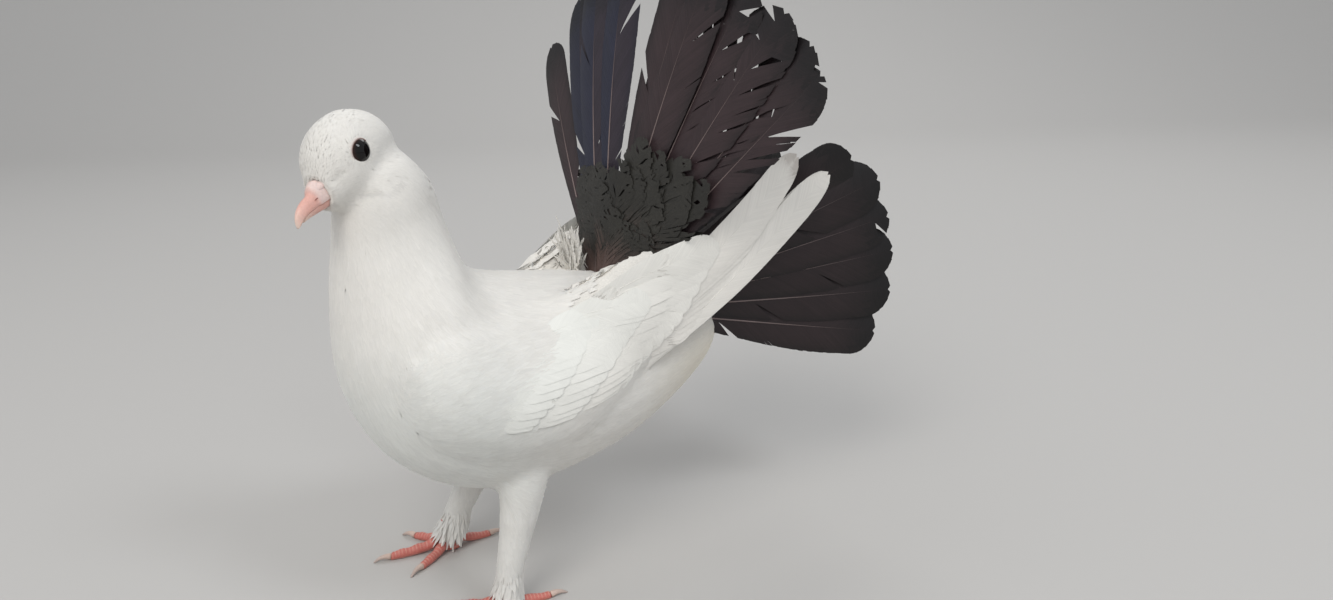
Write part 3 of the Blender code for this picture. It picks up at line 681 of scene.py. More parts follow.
def lie_of(points, normals):
    """The way feathers lie at points of the body, within the surface."""
    middles = (LIE[1:] + LIE[:-1]) / 2
    ways = unit(LIE[1:] - LIE[:-1])
    gap = np.linalg.norm(points[:, None] - middles[None], axis=2)
    weight = 1 / (gap + 4.0) ** 4
    way = (weight[:, :, None] * ways[None]).sum(axis=1) / weight.sum(axis=1)[:, None]
    leg = smoothstep(50, 42, points[:, 2])
    way = mix(way, (0.0, 0.0, -1.0), leg)
    boot = smoothstep(BOOT_TOP, 13, points[:, 2])
    way = way + normals * (0.75 * boot)[:, None] * (1, 1, 0)
    arm = on_wing(points)
    way = mix(way, (0.0, 0.97, 0.25), arm)
    way = unit(way)
    for side in (1, -1):
        centre = head_point(*eye_axes(side)[0])
        out = eye_place(side, 0, 0, 1) - centre
        radial = points - centre
        radial -= (radial @ out)[:, None] * out
        gap = np.linalg.norm(points - centre, axis=1)
        way = way + unit(radial) * (1.8 * smoothstep(10, 6, gap))[:, None]
    way = unit(way)
    way -= normals * (way * normals).sum(axis=1)[:, None]
    return unit(way)


# The arm of the folded wing: places along the bird, from front to back, and its edges there.
ARM_BACK = (-40, -30, -18, 4, 28, 45, 66)
ARM_TOP = (98, 112, 117, 118, 118, 124, 136)
ARM_BOTTOM = (94, 80, 70, 64, 66, 78, 92)
COVERED_FROM = (72, 68, 70, 80, 92)  # where its own feathers begin, at the last five places


def on_wing(points):
    """How surely a point of the skin lies on the folded wing's arm."""
    back, z = points[..., 1], points[..., 2]
    inside = (smoothstep(0, 5, np.interp(back, ARM_BACK, ARM_TOP) - z)
              * smoothstep(0, 5, z - np.interp(back, ARM_BACK, ARM_BOTTOM)))
    return inside * smoothstep(40, 32, -back) * smoothstep(22, 30, np.abs(points[..., 0]))


def covered_from(back):
    return np.interp(back, ARM_BACK[2:], COVERED_FROM)


def tuft_size(points):
    """Length and half width of the feathers at points of the body."""
    head = head_coordinates(points)
    face = smoothstep(24, 8, np.linalg.norm(head - np.array([14.0, 0, -3]), axis=-1))
    reach = np.linalg.norm(head, axis=-1)
    length = 3.6 + 3.4 * smoothstep(16, 36, reach) + 3.0 * smoothstep(45, 85, reach)
    length = length - 1.7 * face
    leg = points[..., 2] < LEG_TOP
    length = np.where(leg, 7.0 + 3.0 * smoothstep(22, 13, points[..., 2]), length)
    return length, length * np.where(leg, 0.12, 0.13 + 0.04 * smoothstep(20, 60, reach))


STATIONS = np.array([0.0, 0.36, 0.74, 1.0])
LEAF = np.array([0.5, 1.0, 0.8, 0.12])
TUCK = np.array([0.1, 0.8, 1.0, 0.55])  # a tuft's rise over the skin: its tip is drawn in
TUFT_DROP = 0.27  # how far its edges lie lower, as a share of its half width
BAKE_HALF = 0.0014  # half its size in the bake map


def lay_tufts(surface, points, normals, places, rng):
    """Small feathers rooted at points and lying over the skin: rings, tints, places, normals."""
    length, half = tuft_size(points)
    n = len(points)
    length = length * rng.uniform(0.85, 1.2, n)
    half = half * rng.uniform(0.85, 1.15, n)
    way = lie_of(points, normals)
    across = np.cross(normals, way)
    swing = rng.normal(0, 0.12, n)[:, None]
    way = unit(way + across * swing)
    path = points[:, None] + way[:, None] * (length[:, None] * STATIONS)[..., None]
    spots, spot_normals = surface.nearest(path.reshape(-1, 3))
    spots = spots.reshape(n, -1, 3)
    spot_normals = spot_normals.reshape(n, -1, 3)
    free = points[:, 2] < BOOT_TOP
    spots[free] = path[free]
    spot_normals[free] = normals[free][:, None]
    rise = np.where(free[:, None], 0.1 + STATIONS[None] ** 1.5, TUCK[None])
    rise = coat_lift(points)[:, None] * rise * rng.uniform(0.8, 1.2, (n, 1))
    middle = spots + spot_normals * rise[..., None]
    along = np.gradient(middle, axis=1)
    side = unit(np.cross(spot_normals, along))
    top = unit(np.cross(along, side))
    wide = half[:, None] * LEAF
    tilt = rng.normal(0, 0.035, (n, 1)) * wide
    left = middle - side * wide[..., None] - top * (TUFT_DROP * wide + tilt)[..., None]
    right = middle + side * wide[..., None] - top * (TUFT_DROP * wide - tilt)[..., None]
    thick = (0.12 * half)[:, None, None] * (1 - 0.6 * STATIONS)[None, :, None]
    rings = np.stack([left, middle + top * thick, right, middle - top * thick * 0.6], axis=2)
    # a random tone for each tuft, and painted shade: darker at its root, where the tufts before it lie over
    # it
    shade = rng.normal(1.0, 0.014, (n, 1, 1, 1)) * (0.965 + 0.045 * STATIONS)[None, :, None, None]
    tint = coat_colour(points)[:, None, None, :] * shade
    # painted shade: the tufts are darkened along the folds of the head
    tint = tint * (1 - 0.26 * crease(points))[:, None, None, None]
    patch = places[:, None, None, :] + np.array([[-1, 0], [0, 0], [1, 0], [0, 0]]) * BAKE_HALF
    patch = patch + (STATIONS - 0.5)[None, :, None, None] * np.array([0, 2 * BAKE_HALF])
    blend = unit(spot_normals * 0.8 + top * 0.2)
    ring_normals = np.repeat(blend[:, :, None], 4, axis=2)
    vane = np.zeros((n, len(STATIONS), 4, 3))
    vane[..., 0] = np.array([-1.0, 0, 1.0, 0])
    vane[..., 1] = STATIONS[None, :, None]
    vane[..., 2] = rng.random((n, 1, 1)) * 10
    return rings, tint, patch, vane, ring_normals


def coat_lift(points):
    """How far the small feathers stand over the skin, in millimetres."""
    head = head_coordinates(points)
    reach = np.linalg.norm(head, axis=-1)
    ruff = smoothstep(7, 2, np.hypot(points[..., 1] + 11, points[..., 2] - 167)) + crown(head)
    leg = smoothstep(44, 36, points[..., 2]) * (0.1 + 2.0 * smoothstep(20, 12.5, points[..., 2]))
    return 0.3 + 0.3 * smoothstep(16, 40, reach) + 0.4 * ruff + leg


MOST_TUFTS = 6500  # in one piece of the coat
BILL_BARE = np.array([19.0, 0, -2.0])  # in the head's frame
BARE_BILL = 5.2  # no feather grows this near to that point, the eye's axis or the floor
BARE_EYE = 4.55
BARE_FOOT = 12.0


def under_coverts(points):
    """Which points of the arm the wing's own feathers cover."""
    back, z = points[:, 1], points[:, 2]
    behind = -back < 4 - 0.8 * (z - 82)
    return behind & (z > covered_from(back) + 11) & (z < 112 + 0.3 * (back - 20)) & (on_wing(points) > 0.5)


def on_ridge(points):
    """Which points lie on the thin upper edge of the wing's arm, where the skin stays smooth."""
    top = np.interp(points[:, 1], (20, 28, 45, 60, 76), (118, 121, 127, 134, 136))
    return (points[:, 1] > 22) & (np.abs(points[:, 0]) > 24) & (points[:, 2] > top - 11)


def tuft_spacing(points):
    """How far apart the small feathers grow, in millimetres."""
    length, half = tuft_size(points)
    reach = np.linalg.norm(head_coordinates(points), axis=-1)
    dense = np.where(points[..., 2] < LEG_TOP, 0.6, 1.0)
    return np.sqrt(length * half * dense * (0.24 - 0.1 * smoothstep(20, 40, reach)))


def make_coat(surface, material, rng):
    """All small feathers of head, neck, body and legs, in pieces by region."""
    points, normals, places = surface.scatter(tuft_spacing, rng)
    head = head_coordinates(points)
    bare = np.linalg.norm(head - BILL_BARE, axis=1) < BARE_BILL
    for side in (1, -1):
        centre, _, _, out = eye_axes(side)
        gap = head - centre
        beside = np.linalg.norm(gap - (gap @ out)[:, None] * out, axis=1)
        bare |= (beside < BARE_EYE) & (gap @ out > -3)
    bare |= (points[:, 2] < BARE_FOOT) | under_coverts(points) | on_ridge(points)
    points, normals, places = points[~bare], normals[~bare], places[~bare]
    reach = np.linalg.norm(head_coordinates(points), axis=1)
    regions = {
        "coat_head": reach < 24,
        "coat_neck": (reach >= 24) & (points[:, 2] > 118),
        "coat_legs": points[:, 2] < 44,
    }
    rest = ~(regions["coat_head"] | regions["coat_neck"] | regions["coat_legs"])
    regions["coat_breast"] = rest & (points[:, 1] < 0)
    regions["coat_body"] = rest & (points[:, 1] >= 0)
    for name, chosen in regions.items():
        chosen = np.flatnonzero(chosen)
        chosen = chosen[np.argsort(points[chosen, 1])]
        parts = -(-len(chosen) // MOST_TUFTS)
        for i, part in enumerate(np.array_split(chosen, parts)):
            pile = Pile()
            pile.add(*lay_tufts(surface, points[part], normals[part], places[part], rng))
            pile.build(f"{name}_{i + 1}", material)


# Head: eyes, lids, bill

EYE_FORWARD = 4.1
EYE_UP = 6.2
EYE_OUT = 8.7
EYE_RADIUS = 5.3
EYE_TURN = 2.0
EYE_TILT = 0.1
EYE_FLAT = 0.86  # the ball's depth as a share of its width


def eye_axes(side):
    """Centre of the eye in the head's frame, then ahead, up and out."""
    turn = radians(EYE_TURN)
    out = unit(np.array([sin(turn), side * cos(turn), EYE_TILT]))
    ahead = np.array([cos(turn), -side * sin(turn), 0.0])
    up = np.cross(out, ahead)
    if up[2] < 0:
        up = -up
    return np.array([EYE_FORWARD, side * EYE_OUT, EYE_UP]), ahead, up, out


def eye_place(side, x, y, z):
    centre, ahead, up, out = eye_axes(side)
    return head_point(*(centre + x * ahead + y * up + z * out))


def eye_ring(side, wide, deep, polar, count):
    """A ring of a flat ball in the eye's place, at an angle from its front."""
    return [eye_place(side, wide * sin(polar) * cos(a), wide * sin(polar) * sin(a),
                      deep * cos(polar) * EYE_FLAT) for a in turns(count)]


def make_eyes(eye_material, lid_material):
    for name, side in SIDES:
        rings, colours = [], []
        for i in range(33):
            polar = pi * (0.01 + 0.98 * i / 32)
            radius = EYE_RADIUS * (1.0 + 0.035 * smoothstep(0.75, 0.35, polar))
            rings.append(eye_ring(side, radius, radius, polar, 40))
            out = EYE_RADIUS * sin(polar)
            iris = mix((0.003, 0.002, 0.002), (0.020, 0.006, 0.004), smoothstep(3.1, 4.0, out))
            colours.append([iris] * 40)
        loft_object(f"eyeball_{name}", rings, np.array(colours), eye_material, "eye", (f"eye_{name}",))
        make_lid(name, side, lid_material)


LID_PROFILE = (  # across from the eye's axis, out along it, and how dark the rim is there
    (5.2, 1.4, 0.0), (4.95, 2.0, 0.1), (4.7, 2.4, 0.2), (4.5, 2.65, 0.4), (4.35, 2.78, 0.7),
    (4.22, 2.8, 0.9), (4.1, 2.74, 1.0), (4.14, 2.5, 1.0), (4.6, 1.9, 1.0), (5.0, 1.0, 0.5),
)


def make_lid(name, side, material):
    """A rim of bare skin round the eye, fuller above, with fine creases."""
    rings, colours = [], []
    for a in turns(72):
        brow = 0.25 * max(sin(a), 0.0)
        crease = 0.03 * sin(a * 22)
        ring, shades = [], []
        for r, out, dark in LID_PROFILE:
            r = r + crease * (r < 5) - brow * (r < 4.3)
            ring.append(eye_place(side, r * cos(a), 0.97 * r * sin(a), out + brow * (r < 5.2)))
            rim = mix((0.40, 0.33, 0.31), (0.16, 0.06, 0.045), smoothstep(-0.4, 0.6, sin(a)))
            shades.append(mix((0.72, 0.69, 0.65), rim, dark))
        rings.append(ring)
        colours.append(shades)
    loft_object(f"lid_{name}", rings, np.array(colours), material, "white_coat", closed=True)


UPPER_BILL = (  # from root to tip: how far forward, top, bottom and half width
    (12.5, 2.4, -3.8, 3.2),
    (16.5, 2.7, -4.0, 4.0),
    (19.0, 3.1, -4.1, 4.1),
    (21.6, 2.4, -4.1, 3.6),
    (23.4, 0.4, -4.1, 2.6),
    (26.8, -0.2, -4.2, 2.3),
    (30.0, -1.5, -4.8, 1.8),
    (32.2, -3.6, -6.4, 1.0),
    (32.9, -5.7, -6.9, 0.5),
)
LOWER_BILL = (
    (12.5, -3.6, -7.4, 2.8),
    (18.0, -3.8, -7.5, 3.6),
    (23.0, -3.9, -7.0, 2.5),
    (27.3, -4.3, -6.5, 1.9),
    (29.8, -5.2, -6.5, 1.1),
)
PINK = (0.70, 0.40, 0.34)
PALE_PINK = (0.76, 0.58, 0.50)
CERE = (0.74, 0.58, 0.54)
# painted shade: the dark inside of the nostril's opening
NOSTRIL_SHADE = (0.30, 0.13, 0.11)


def oval_rings(rows, sides, steps, rise):
    """Rings of one half of the bill. rise turns the sine round a ring into a height."""
    rings = []
    for t in np.arange((len(rows) - 1) * steps + 1) / steps:
        forward, top, bottom, wide = spline(rows, t)
        rings.append([head_point(forward, wide * cos(a),
                                 (top + bottom) / 2 + (top - bottom) / 2 * rise(sin(a)))
                      for a in turns(sides)])
    return np.array(rings)


def bead_rings(side, count, sides, ends, power, start, way, size):
    """Rings of a bead on the bill, which runs from start along way and is widest at its middle."""
    rings = []
    for t in np.arange(count) / (count - 1):
        swell = sin(pi * (ends + (1 - 2 * ends) * t)) ** power
        forward, left, up = np.array(start) + np.array(way) * t
        rings.append([head_point(forward, side * left + size[0] * swell * cos(a),
                                 up + size[1] * swell * sin(a)) for a in turns(sides)])
    return rings


def make_bill(material, cere_material, dark):
    def upper_rise(s):
        return -0.88 + (1.88 if s > 0 else 0.12) * s

    def lower_rise(s):
        return 0.95 + (0.05 if s > 0 else 1.95) * s

    upper = oval_rings(UPPER_BILL, 32, 5, upper_rise)
    share = np.linspace(0, 1, len(upper))
    colours = mix(mix(PINK, PALE_PINK, smoothstep(0.62, 1.0, share)), CERE, smoothstep(0.5, 0.35, share))
    loft_object("upper_bill", upper, colours[:, None], material, "bill_horn", ("bill_upper",))
    lower = oval_rings(LOWER_BILL, 28, 5, lower_rise)
    colours = mix(PINK, PALE_PINK, smoothstep(0.5, 1.0, np.linspace(0, 1, len(lower))))
    loft_object("lower_bill", lower, colours[:, None], material, "bill_horn", ("bill_lower",))
    for name, side in SIDES:
        cere = bead_rings(side, 15, 20, 0.03, 0.6, (15.0, 1.9, 1.45), (6.8, -0.5, -0.95), (1.9, 1.45))
        loft_object(f"cere_{name}", cere, CERE, cere_material, "bill_horn")
        # a small dark bead painted in as the shade inside the nostril's opening
        nostril = bead_rings(side, 9, 10, 0.05, 0.7, (18.6, 3.35, -0.75), (5.0, -0.95, -0.85), (0.3, 0.25))
        loft_object(f"nostril_{name}", nostril, NOSTRIL_SHADE, dark, "bill_horn")


# Feet

LEGS = (  # name, place to the left and forward, and heading in degrees
    ("left", 29.0, 2.0, 6.0),
    ("right", -29.0, 7.0, -7.0),
)
ANKLE = 11.0
TOES = (  # name, angle, length, radius and number of joints
    ("inner", -42.0, 20.0, 2.3, 3),
    ("middle", 0.0, 26.0, 2.5, 4),
    ("outer", 46.0, 19.5, 2.3, 4),
    ("hind", 172.0, 17.5, 2.1, 2),
)
CLAW = 6.5
TOE_RED = (0.56, 0.17, 0.14)
TOE_PALE = (0.66, 0.36, 0.30)
NAIL_ROOT = (0.62, 0.47, 0.40)
NAIL_TIP = (0.46, 0.38, 0.34)


def toe_rings(centre, heading, length, radius, joints):
    """Rings of a toe with scutes across its top and pads under its joints."""
    direction = np.array([sin(heading), -cos(heading), 0.0])
    sideways = np.array([cos(heading), sin(heading), 0.0])
    rings, colours = [], []
    count = 64
    for i in range(count + 1):
        t = i / count
        knuckle = 0.5 + 0.5 * cos(2 * pi * joints * (t - 0.06))
        size = radius * (1 - 0.3 * t) * (0.93 + 0.12 * knuckle)
        if t > 0.96:
            size *= 1 - 0.35 * (t - 0.96) / 0.04
        scute = (t * length / 1.5) % 1.0
        height = size * 0.86 + 4.5 * (1 - t) ** 3
        middle = centre + direction * length * t + np.array([0, 0, height])
        ring, ring_colours = [], []
        for a in 2 * pi * (np.arange(20) + 0.5) / 20:
            above = max(sin(a), 0.0)
            bulge = 1 + 0.045 * above * sin(pi * scute) ** 0.5
            point = middle + size * bulge * (cos(a) * sideways + sin(a) * np.array([0, 0, 1.0]))
            point[2] = max(point[2], 0.0)
            ring.append(point)
            edge = above * smoothstep(0.25, 0.0, min(scute, 1 - scute))
            colour = mix(TOE_RED, TOE_PALE, min(edge * 0.9 + 0.35 * (sin(a) < -0.2), 1.0))
            ring_colours.append(colour)
        rings.append(ring)
        colours.append(ring_colours)
    return rings, colours, direction


def nail_rings(tip, direction):
    """Rings of a curved claw that tapers from a toe's tip down to the floor."""
    route, radii = [], []
    for t in np.arange(15) / 14:
        drop = 0.9 * sin(pi * t * 0.7) - 2.1 * t * t
        route.append(tip + direction * (CLAW + 0.4) * t + np.array([0, 0, drop]))
        radii.append(1.3 * (1 - 0.85 * t) ** 0.8 + 0.06)
    rings = tube_rings(route, radii, 14)
    rings[..., 2] = np.maximum(rings[..., 2], 0.0)
    return rings


def shank_rings(centre):
    """Rings of the scaled leg between the toes and the boot, and a colour for each."""
    rings, colours = [], []
    for h in np.linspace(0.6, ANKLE + 3.0, 30):
        scute = (h / 1.9) % 1.0
        radius = np.interp(h, (0.6, 2.5, 5.0, ANKLE + 3), (3.9, 4.5, 4.1, 3.4))
        radius *= 1 + 0.03 * sin(pi * scute)
        rings.append([centre + (radius * cos(a), radius * sin(a), h) for a in turns(24)])
        colours.append([mix(TOE_RED, TOE_PALE, smoothstep(0.2, 0.0, min(scute, 1 - scute)))])
    return rings, np.array(colours)


def make_feet(red, horn):
    for side_name, x, forward, heading in LEGS:
        mirror = dict(SIDES)[side_name]
        centre = np.array([x, -forward, 0.0])
        foot = (f"foot_{side_name}",)
        for toe, angle, length, radius, joints in TOES:
            turn = radians(heading + mirror * angle)
            rings, colours, direction = toe_rings(centre, turn, length, radius, joints)
            loft_object(f"toe_{side_name}_{toe}", rings, np.array(colours), red, "red_skin", foot)
            foot = ()  # the first toe stands for the whole foot
            tip = centre + direction * (length + 0.1) + np.array([0, 0, radius * 0.7 * 0.86])
            nail = nail_rings(tip, direction)
            colours = mix(NAIL_ROOT, NAIL_TIP, np.linspace(0, 1, len(nail)))
            loft_object(f"nail_{side_name}_{toe}", nail, colours[:, None], horn, "claw_horn",
                        (f"claw_{side_name}_{toe}",))
        loft_object(f"shank_{side_name}", *shank_rings(centre), red, "red_skin")


# Long feathers

BARB_END = 0.985  # how far along the shaft the last barbs grow
SHAFT_END = 0.97
CAMBER = 0.04


def towards_tip(count):
    """Stations from 0 to 1 that lie closer together towards a feather's tip."""
    return 1 - (1 - np.linspace(0, 1, count)) ** 1.7


def rounded(t, end):
    """A feather's width at t as a share, where the last part of it ends round."""
    close = np.sqrt(np.clip(1 - ((t - (1 - end)) / end) ** 2, 0, 1))
    return np.maximum(np.where(t > 1 - end, close, 1.0), 0.12)


class Feather:
    """A feather's shaft, sides, upper face and half widths at stations t from 0 to 1."""

    def __init__(self, t, centres, sides, normals, left, right):
        self.t = np.asarray(t, float)
        self.centres = np.asarray(centres, float)
        self.sides = unit(sides)
        self.normals = unit(normals)
        self.left = np.asarray(left, float)
        self.right = np.asarray(right, float)
        self.length = np.linalg.norm(np.diff(self.centres, axis=0), axis=1).sum()

    def at(self, t, table):
        t = np.clip(t, 0, 1)
        if table.ndim == 1:
            return np.interp(t, self.t, table)
        return np.stack([np.interp(t, self.t, table[:, i]) for i in range(table.shape[1])], axis=-1)

    def place(self, t, across, out):
        """A point at t along the shaft, across from it and out from its face, in millimetres."""
        out = out - CAMBER * across ** 2 / 4
        return (self.at(t, self.centres) + self.at(t, self.sides) * across[..., None]
                + self.at(t, self.normals) * out[..., None])


def barbs(feather, sign, count, slant, rng, ragged, splits, loose):
    """One web of a feather as overlapping bundles of barbs: rings, shares out and along."""
    width = feather.left if sign < 0 else feather.right
    root = BARB_END * np.arange(count) / count
    step = BARB_END / count
    tip = root.copy()
    for _ in range(4):
        tip = np.minimum(root + slant * feather.at(tip, width) / feather.length, 0.999)
    sweep = rng.normal(0, ragged * 0.35, count)
    for _ in range(splits):
        where = rng.integers(count // 4, count - 1)
        gap = rng.uniform(1.0, 2.6) * step
        fade = np.exp(-np.abs(np.arange(count) - where + 0.5) / 2.5)
        sweep += np.where(np.arange(count) < where, -gap, gap) * fade * 0.8
    reach = 1 + rng.normal(0, ragged, count)
    reach = np.where(rng.random(count) < loose * (root > 0.45), rng.uniform(0.6, 0.92, count), reach)
    u = np.array([0.0, 0.34, 0.68, 1.0])
    rings = np.empty((count, 4, 4, 3))
    normals = np.empty((count, 4, 4, 3))
    for corner, (edge, out) in enumerate(((0, 0.01), (1, 0.04), (1, -0.05), (0, -0.08))):
        root_t = root[:, None] + step * (edge * 1.45 - 0.2)
        tip_t = np.minimum(tip[:, None] + sweep[:, None] + step * (edge * 1.3 - 0.15), 1.0)
        t = root_t + (tip_t - root_t) * u[None] ** 0.9
        full = feather.at(tip_t, width) * reach[:, None]
        across = sign * full * u[None] ** 0.96
        rings[:, :, corner] = feather.place(t, across, np.full_like(t, out) * (1 - 0.5 * u[None]))
        lean = 0.02 * across + 0.12 * (edge - 0.5) * (1 - u[None])
        normals[:, :, corner] = (feather.at(t, feather.normals)
                                 + feather.at(t, feather.sides) * lean[..., None])
    if sign < 0:
        rings, normals = rings[:, :, ::-1], normals[:, :, ::-1]
    return rings, normals, root, u


def rachis(feather, thick):
    """The shaft as a tapering four-sided rod."""
    t = np.linspace(0, SHAFT_END, 14)
    half = thick * (1 - 0.85 * t)
    low = feather.place(t, t * 0, -0.1)
    side = feather.at(t, feather.sides)
    up = feather.at(t, feather.normals)
    return np.stack([low - side * half[:, None], low + up * half[:, None] * 1.3,
                     low + side * half[:, None], low - up * half[:, None] * 0.8], axis=1)[None]


def lay_feather(pile, feather, cell, colours, rng, count, slant, ragged, shaft, vary=0.05, splits=0,
                loose=0.0, shaft_tint=None):
    """Adds a long feather to a pile. colours(share along, share out, side) gives its tint."""
    u0, v0, wide, tall = cell
    middle_u = u0 + wide / 2
    for sign in (-1, 1):
        rings, normals, root, out = barbs(feather, sign, count, slant, rng, ragged, splits, loose)
        along = root[:, None] + 0.12 * out[None]
        shade = rng.normal(1, vary, (count, 1, 1, 1))
        tint = colours(along, out[None] + 0 * along, sign)[:, :, None] * shade
        bake = np.stack([middle_u + sign * out[None] * wide * 0.45 + 0 * along,
                         v0 + np.clip(along, 0, 1) * tall], axis=-1)
        edge = np.array([0, 1, 1, 0])[::sign]
        line = (root[:, None] + edge[None] * BARB_END / count)[:, None] + 0 * along[..., None]
        vane = np.stack([sign * out[None, :, None] + 0 * line, line, 0 * line + rng.random() * 9], axis=-1)
        pile.add(rings, tint, bake[:, :, None], vane, normals)
    rod = rachis(feather, shaft)
    t = np.linspace(0, 1, 14)
    tint = colours(t, 0 * t, 0) if shaft_tint is None else shaft_tint(t)
    bake = np.stack([0 * t + middle_u, v0 + t * tall], axis=-1)
    round_rod = rod - rod.mean(axis=2, keepdims=True)
    pile.add(rod, tint[None, :, None], bake[None, :, None], 0.0, round_rod)


def cells(count, per_row):
    """Places for feathers in a bake map, as corner and size."""
    rows = -(-count // per_row)
    for i in range(count):
        yield (0.01 + 0.98 * (i % per_row) / per_row, 0.01 + 0.98 * (i // per_row) / rows,
               0.9 / per_row, 0.9 / rows)


# Tail

FAN_ROOT = np.array([0.0, 58.0, 105.0])
FAN_LEAN = 7.0
FAN_START = 12.0
# Each half: its side, and for each feather its angle, length, half width and place in front.
FAN_HALVES = (
    ("left", 1, ((10.5, 140, 12.0, -0.6), (14, 141, 14, 0.8), (22, 139, 13, -0.4), (29.7, 138, 14, 0.8),
                 (36.5, 135, 12.5, 0.0), (42, 131, 11.5, 0.4),
                 (63.5, 120, 12.5, 0), (70, 129, 12.5, 0), (77.5, 131, 12.5, 0), (85, 133, 12.5, 0),
                 (93, 134, 12.5, 0), (101, 131, 12.5, 0))),
    ("right", -1, ((7, 140, 12.5, -0.5), (17, 141, 15, 0.8), (26, 139, 12.5, -0.5), (40.5, 136, 10, 0.0),
                   (63, 124, 12.5, 0), (70, 130, 12.5, 0), (78, 131, 12.5, 0), (86, 131, 12.5, 0),
                   (94, 128, 12.5, 0), (102, 121, 12.5, 0))),
)
FAN_LENGTH = 137.0
FAN_CURL = 7.0
FAN_SHINGLE = 7.0
FAN_COVERTS = (  # angles, then length, half width and place in front of each row
    ((13, 20, 27, 34, 40), 74, 9.5, 3.2),
    ((8, 15, 22, 29, 36), 61, 9.5, 3.7),
    ((6, 14, 22, 30, 38), 44, 8.5, 4.3),
    ((18, 40, 84), 66, 11.0, -3.4),
)
FAR_TURN = 0.62  # the far half's front coverts stand closer to the middle
FAR_REACH = 0.8
BROWN = (0.034, 0.021, 0.023)
BROWN_TIP = (0.010, 0.008, 0.009)
BROWN_EDGE = (0.010, 0.008, 0.0085)
# painted reflection: the sky's blue sheen on the far half's feathers, dimmer at their tips
SKY_SHEEN_BLUE = (0.012, 0.016, 0.038)
SKY_SHEEN_TIP = (0.006, 0.008, 0.016)
CHARCOAL = (0.026, 0.0245, 0.021)
FUZZ = (0.115, 0.075, 0.066)
SHAFT_DARK = (0.05, 0.034, 0.034)
SHAFT_PALE = (0.26, 0.20, 0.19)


def fan_frame(side, angle):
    """The way of a feather of the fan, the way across it and the way it faces."""
    def pointing(a):
        if side > 0:
            sweep = 24.0 + 52.0 * float(smoothstep(45, 63, a))
        else:
            sweep = 66.0 * float(smoothstep(44, 63, a))
        turn, back, lean = radians(a), radians(sweep), radians(FAN_LEAN)
        upward = np.array([0.0, sin(lean), cos(lean)])
        outward = np.array([side * cos(back), sin(back), 0.0])
        return upward * cos(turn) + outward * sin(turn)

    direction = pointing(angle)
    sideways = pointing(angle + 2.0) - pointing(angle - 2.0)
    sideways -= direction * (sideways @ direction)
    sideways = unit(sideways)
    return direction, sideways, np.cross(direction, sideways) * -side


def fan_shape(side, angle, start, end, width, offset, rng, blunt=0.5):
    """A Feather of the fan between two distances from its root."""
    direction, sideways, front = fan_frame(side, angle)
    turn = radians(FAN_SHINGLE)
    across = sideways * cos(turn) + front * sin(turn)
    normal = front * cos(turn) - sideways * sin(turn)
    t = towards_tip(32)
    reach = start + (end - start) * t
    bend = rng.normal(0, 0.6)
    curl = -FAN_CURL * (reach / FAN_LENGTH) ** 3
    centres = (FAN_ROOT + direction * reach[:, None] + front * (offset + curl)[:, None]
               + sideways * (bend * t ** 2)[:, None])
    grow = 0.3 + 0.7 * smoothstep(0.0, 0.75, t)
    wide = width * grow * rounded(t, blunt * 0.22)
    n = len(t)
    return Feather(t, centres, [across] * n, [normal] * n, wide, wide * 0.92)


def tail_colours(side, angle, rng):
    """The near half is brownish purple-black; the far half has a blue sheen painted on one web, a painted
    reflection of the sky.
    """
    base = rng.normal(1, 0.08)

    def colour(along, out, sign):
        brown = mix(BROWN, BROWN_TIP, smoothstep(0.72, 1.0, along))
        brown = mix(brown, BROWN_EDGE, smoothstep(0.55, 1.0, out) * 0.7)
        blue = mix(SKY_SHEEN_BLUE, SKY_SHEEN_TIP, smoothstep(0.75, 1.0, along))
        share = 0.0
        # painted reflection of the sky: more of it on one web than on the other
        if side < 0 and angle < 30:
            share = 0.85 if sign > 0 else 0.35
        if angle > 60:
            brown = brown * 0.62
        return mix(brown, blue, share + 0 * along) * base

    return colour


def covert_colours(rng, fuzz):
    base = rng.normal(1, 0.08)

    def colour(along, out, sign):
        return mix(CHARCOAL, FUZZ, smoothstep(0.6, 0.1, along) * fuzz) * base

    return colour


def shaft_colour(strength):
    def colour(t):
        return mix(SHAFT_DARK, SHAFT_PALE, smoothstep(0.95, 0.3, t) * strength)

    return colour


def make_tail(material, rng):
    for side_name, side, feathers in FAN_HALVES:
        pile = Pile()
        places = cells(len(feathers) + sum(len(row[0]) for row in FAN_COVERTS), 8)
        for angle, length, width, offset in feathers:
            shape = fan_shape(side, angle, FAN_START + 6, length - 1.5, width, offset, rng)
            worn = side > 0 and 20 < angle < 45
            lay_feather(pile, shape, next(places), tail_colours(side, angle, rng), rng, count=56,
                        slant=1.35, ragged=0.02 if worn else 0.006, splits=5 if worn else 1,
                        loose=0.05 if worn else 0.0, shaft=0.55, shaft_tint=shaft_colour(0.9), vary=0.04)
        for angles, end, width, offset in FAN_COVERTS:
            drawn_in = side < 0 and offset > 0
            for angle in angles:
                turn = angle * (FAR_TURN if drawn_in else 1.0) + rng.normal(0, 1)
                reach = end * (FAR_REACH if drawn_in else 1.0) + rng.normal(0, 2)
                shape = fan_shape(side, turn, FAN_START, reach, width, offset, rng, blunt=1.6)
                fuzz = 1.0 if end < 65 and offset > 0 else 0.4
                lay_feather(pile, shape, next(places), covert_colours(rng, fuzz), rng, count=44,
                            slant=1.3, ragged=0.11, splits=1, loose=0.5, shaft=0.3,
                            shaft_tint=shaft_colour(0.3))
        pile.build(f"fan_{side_name}", material, (f"tail_{side_name}",))


DOWN_PLUMES = 70
DOWN_ROOT = np.array([-11.0, 50.0, 119.0])


def down_colour(along, out, sign):
    return np.broadcast_to(WHITE, (*np.shape(along), 3)) * 0.97


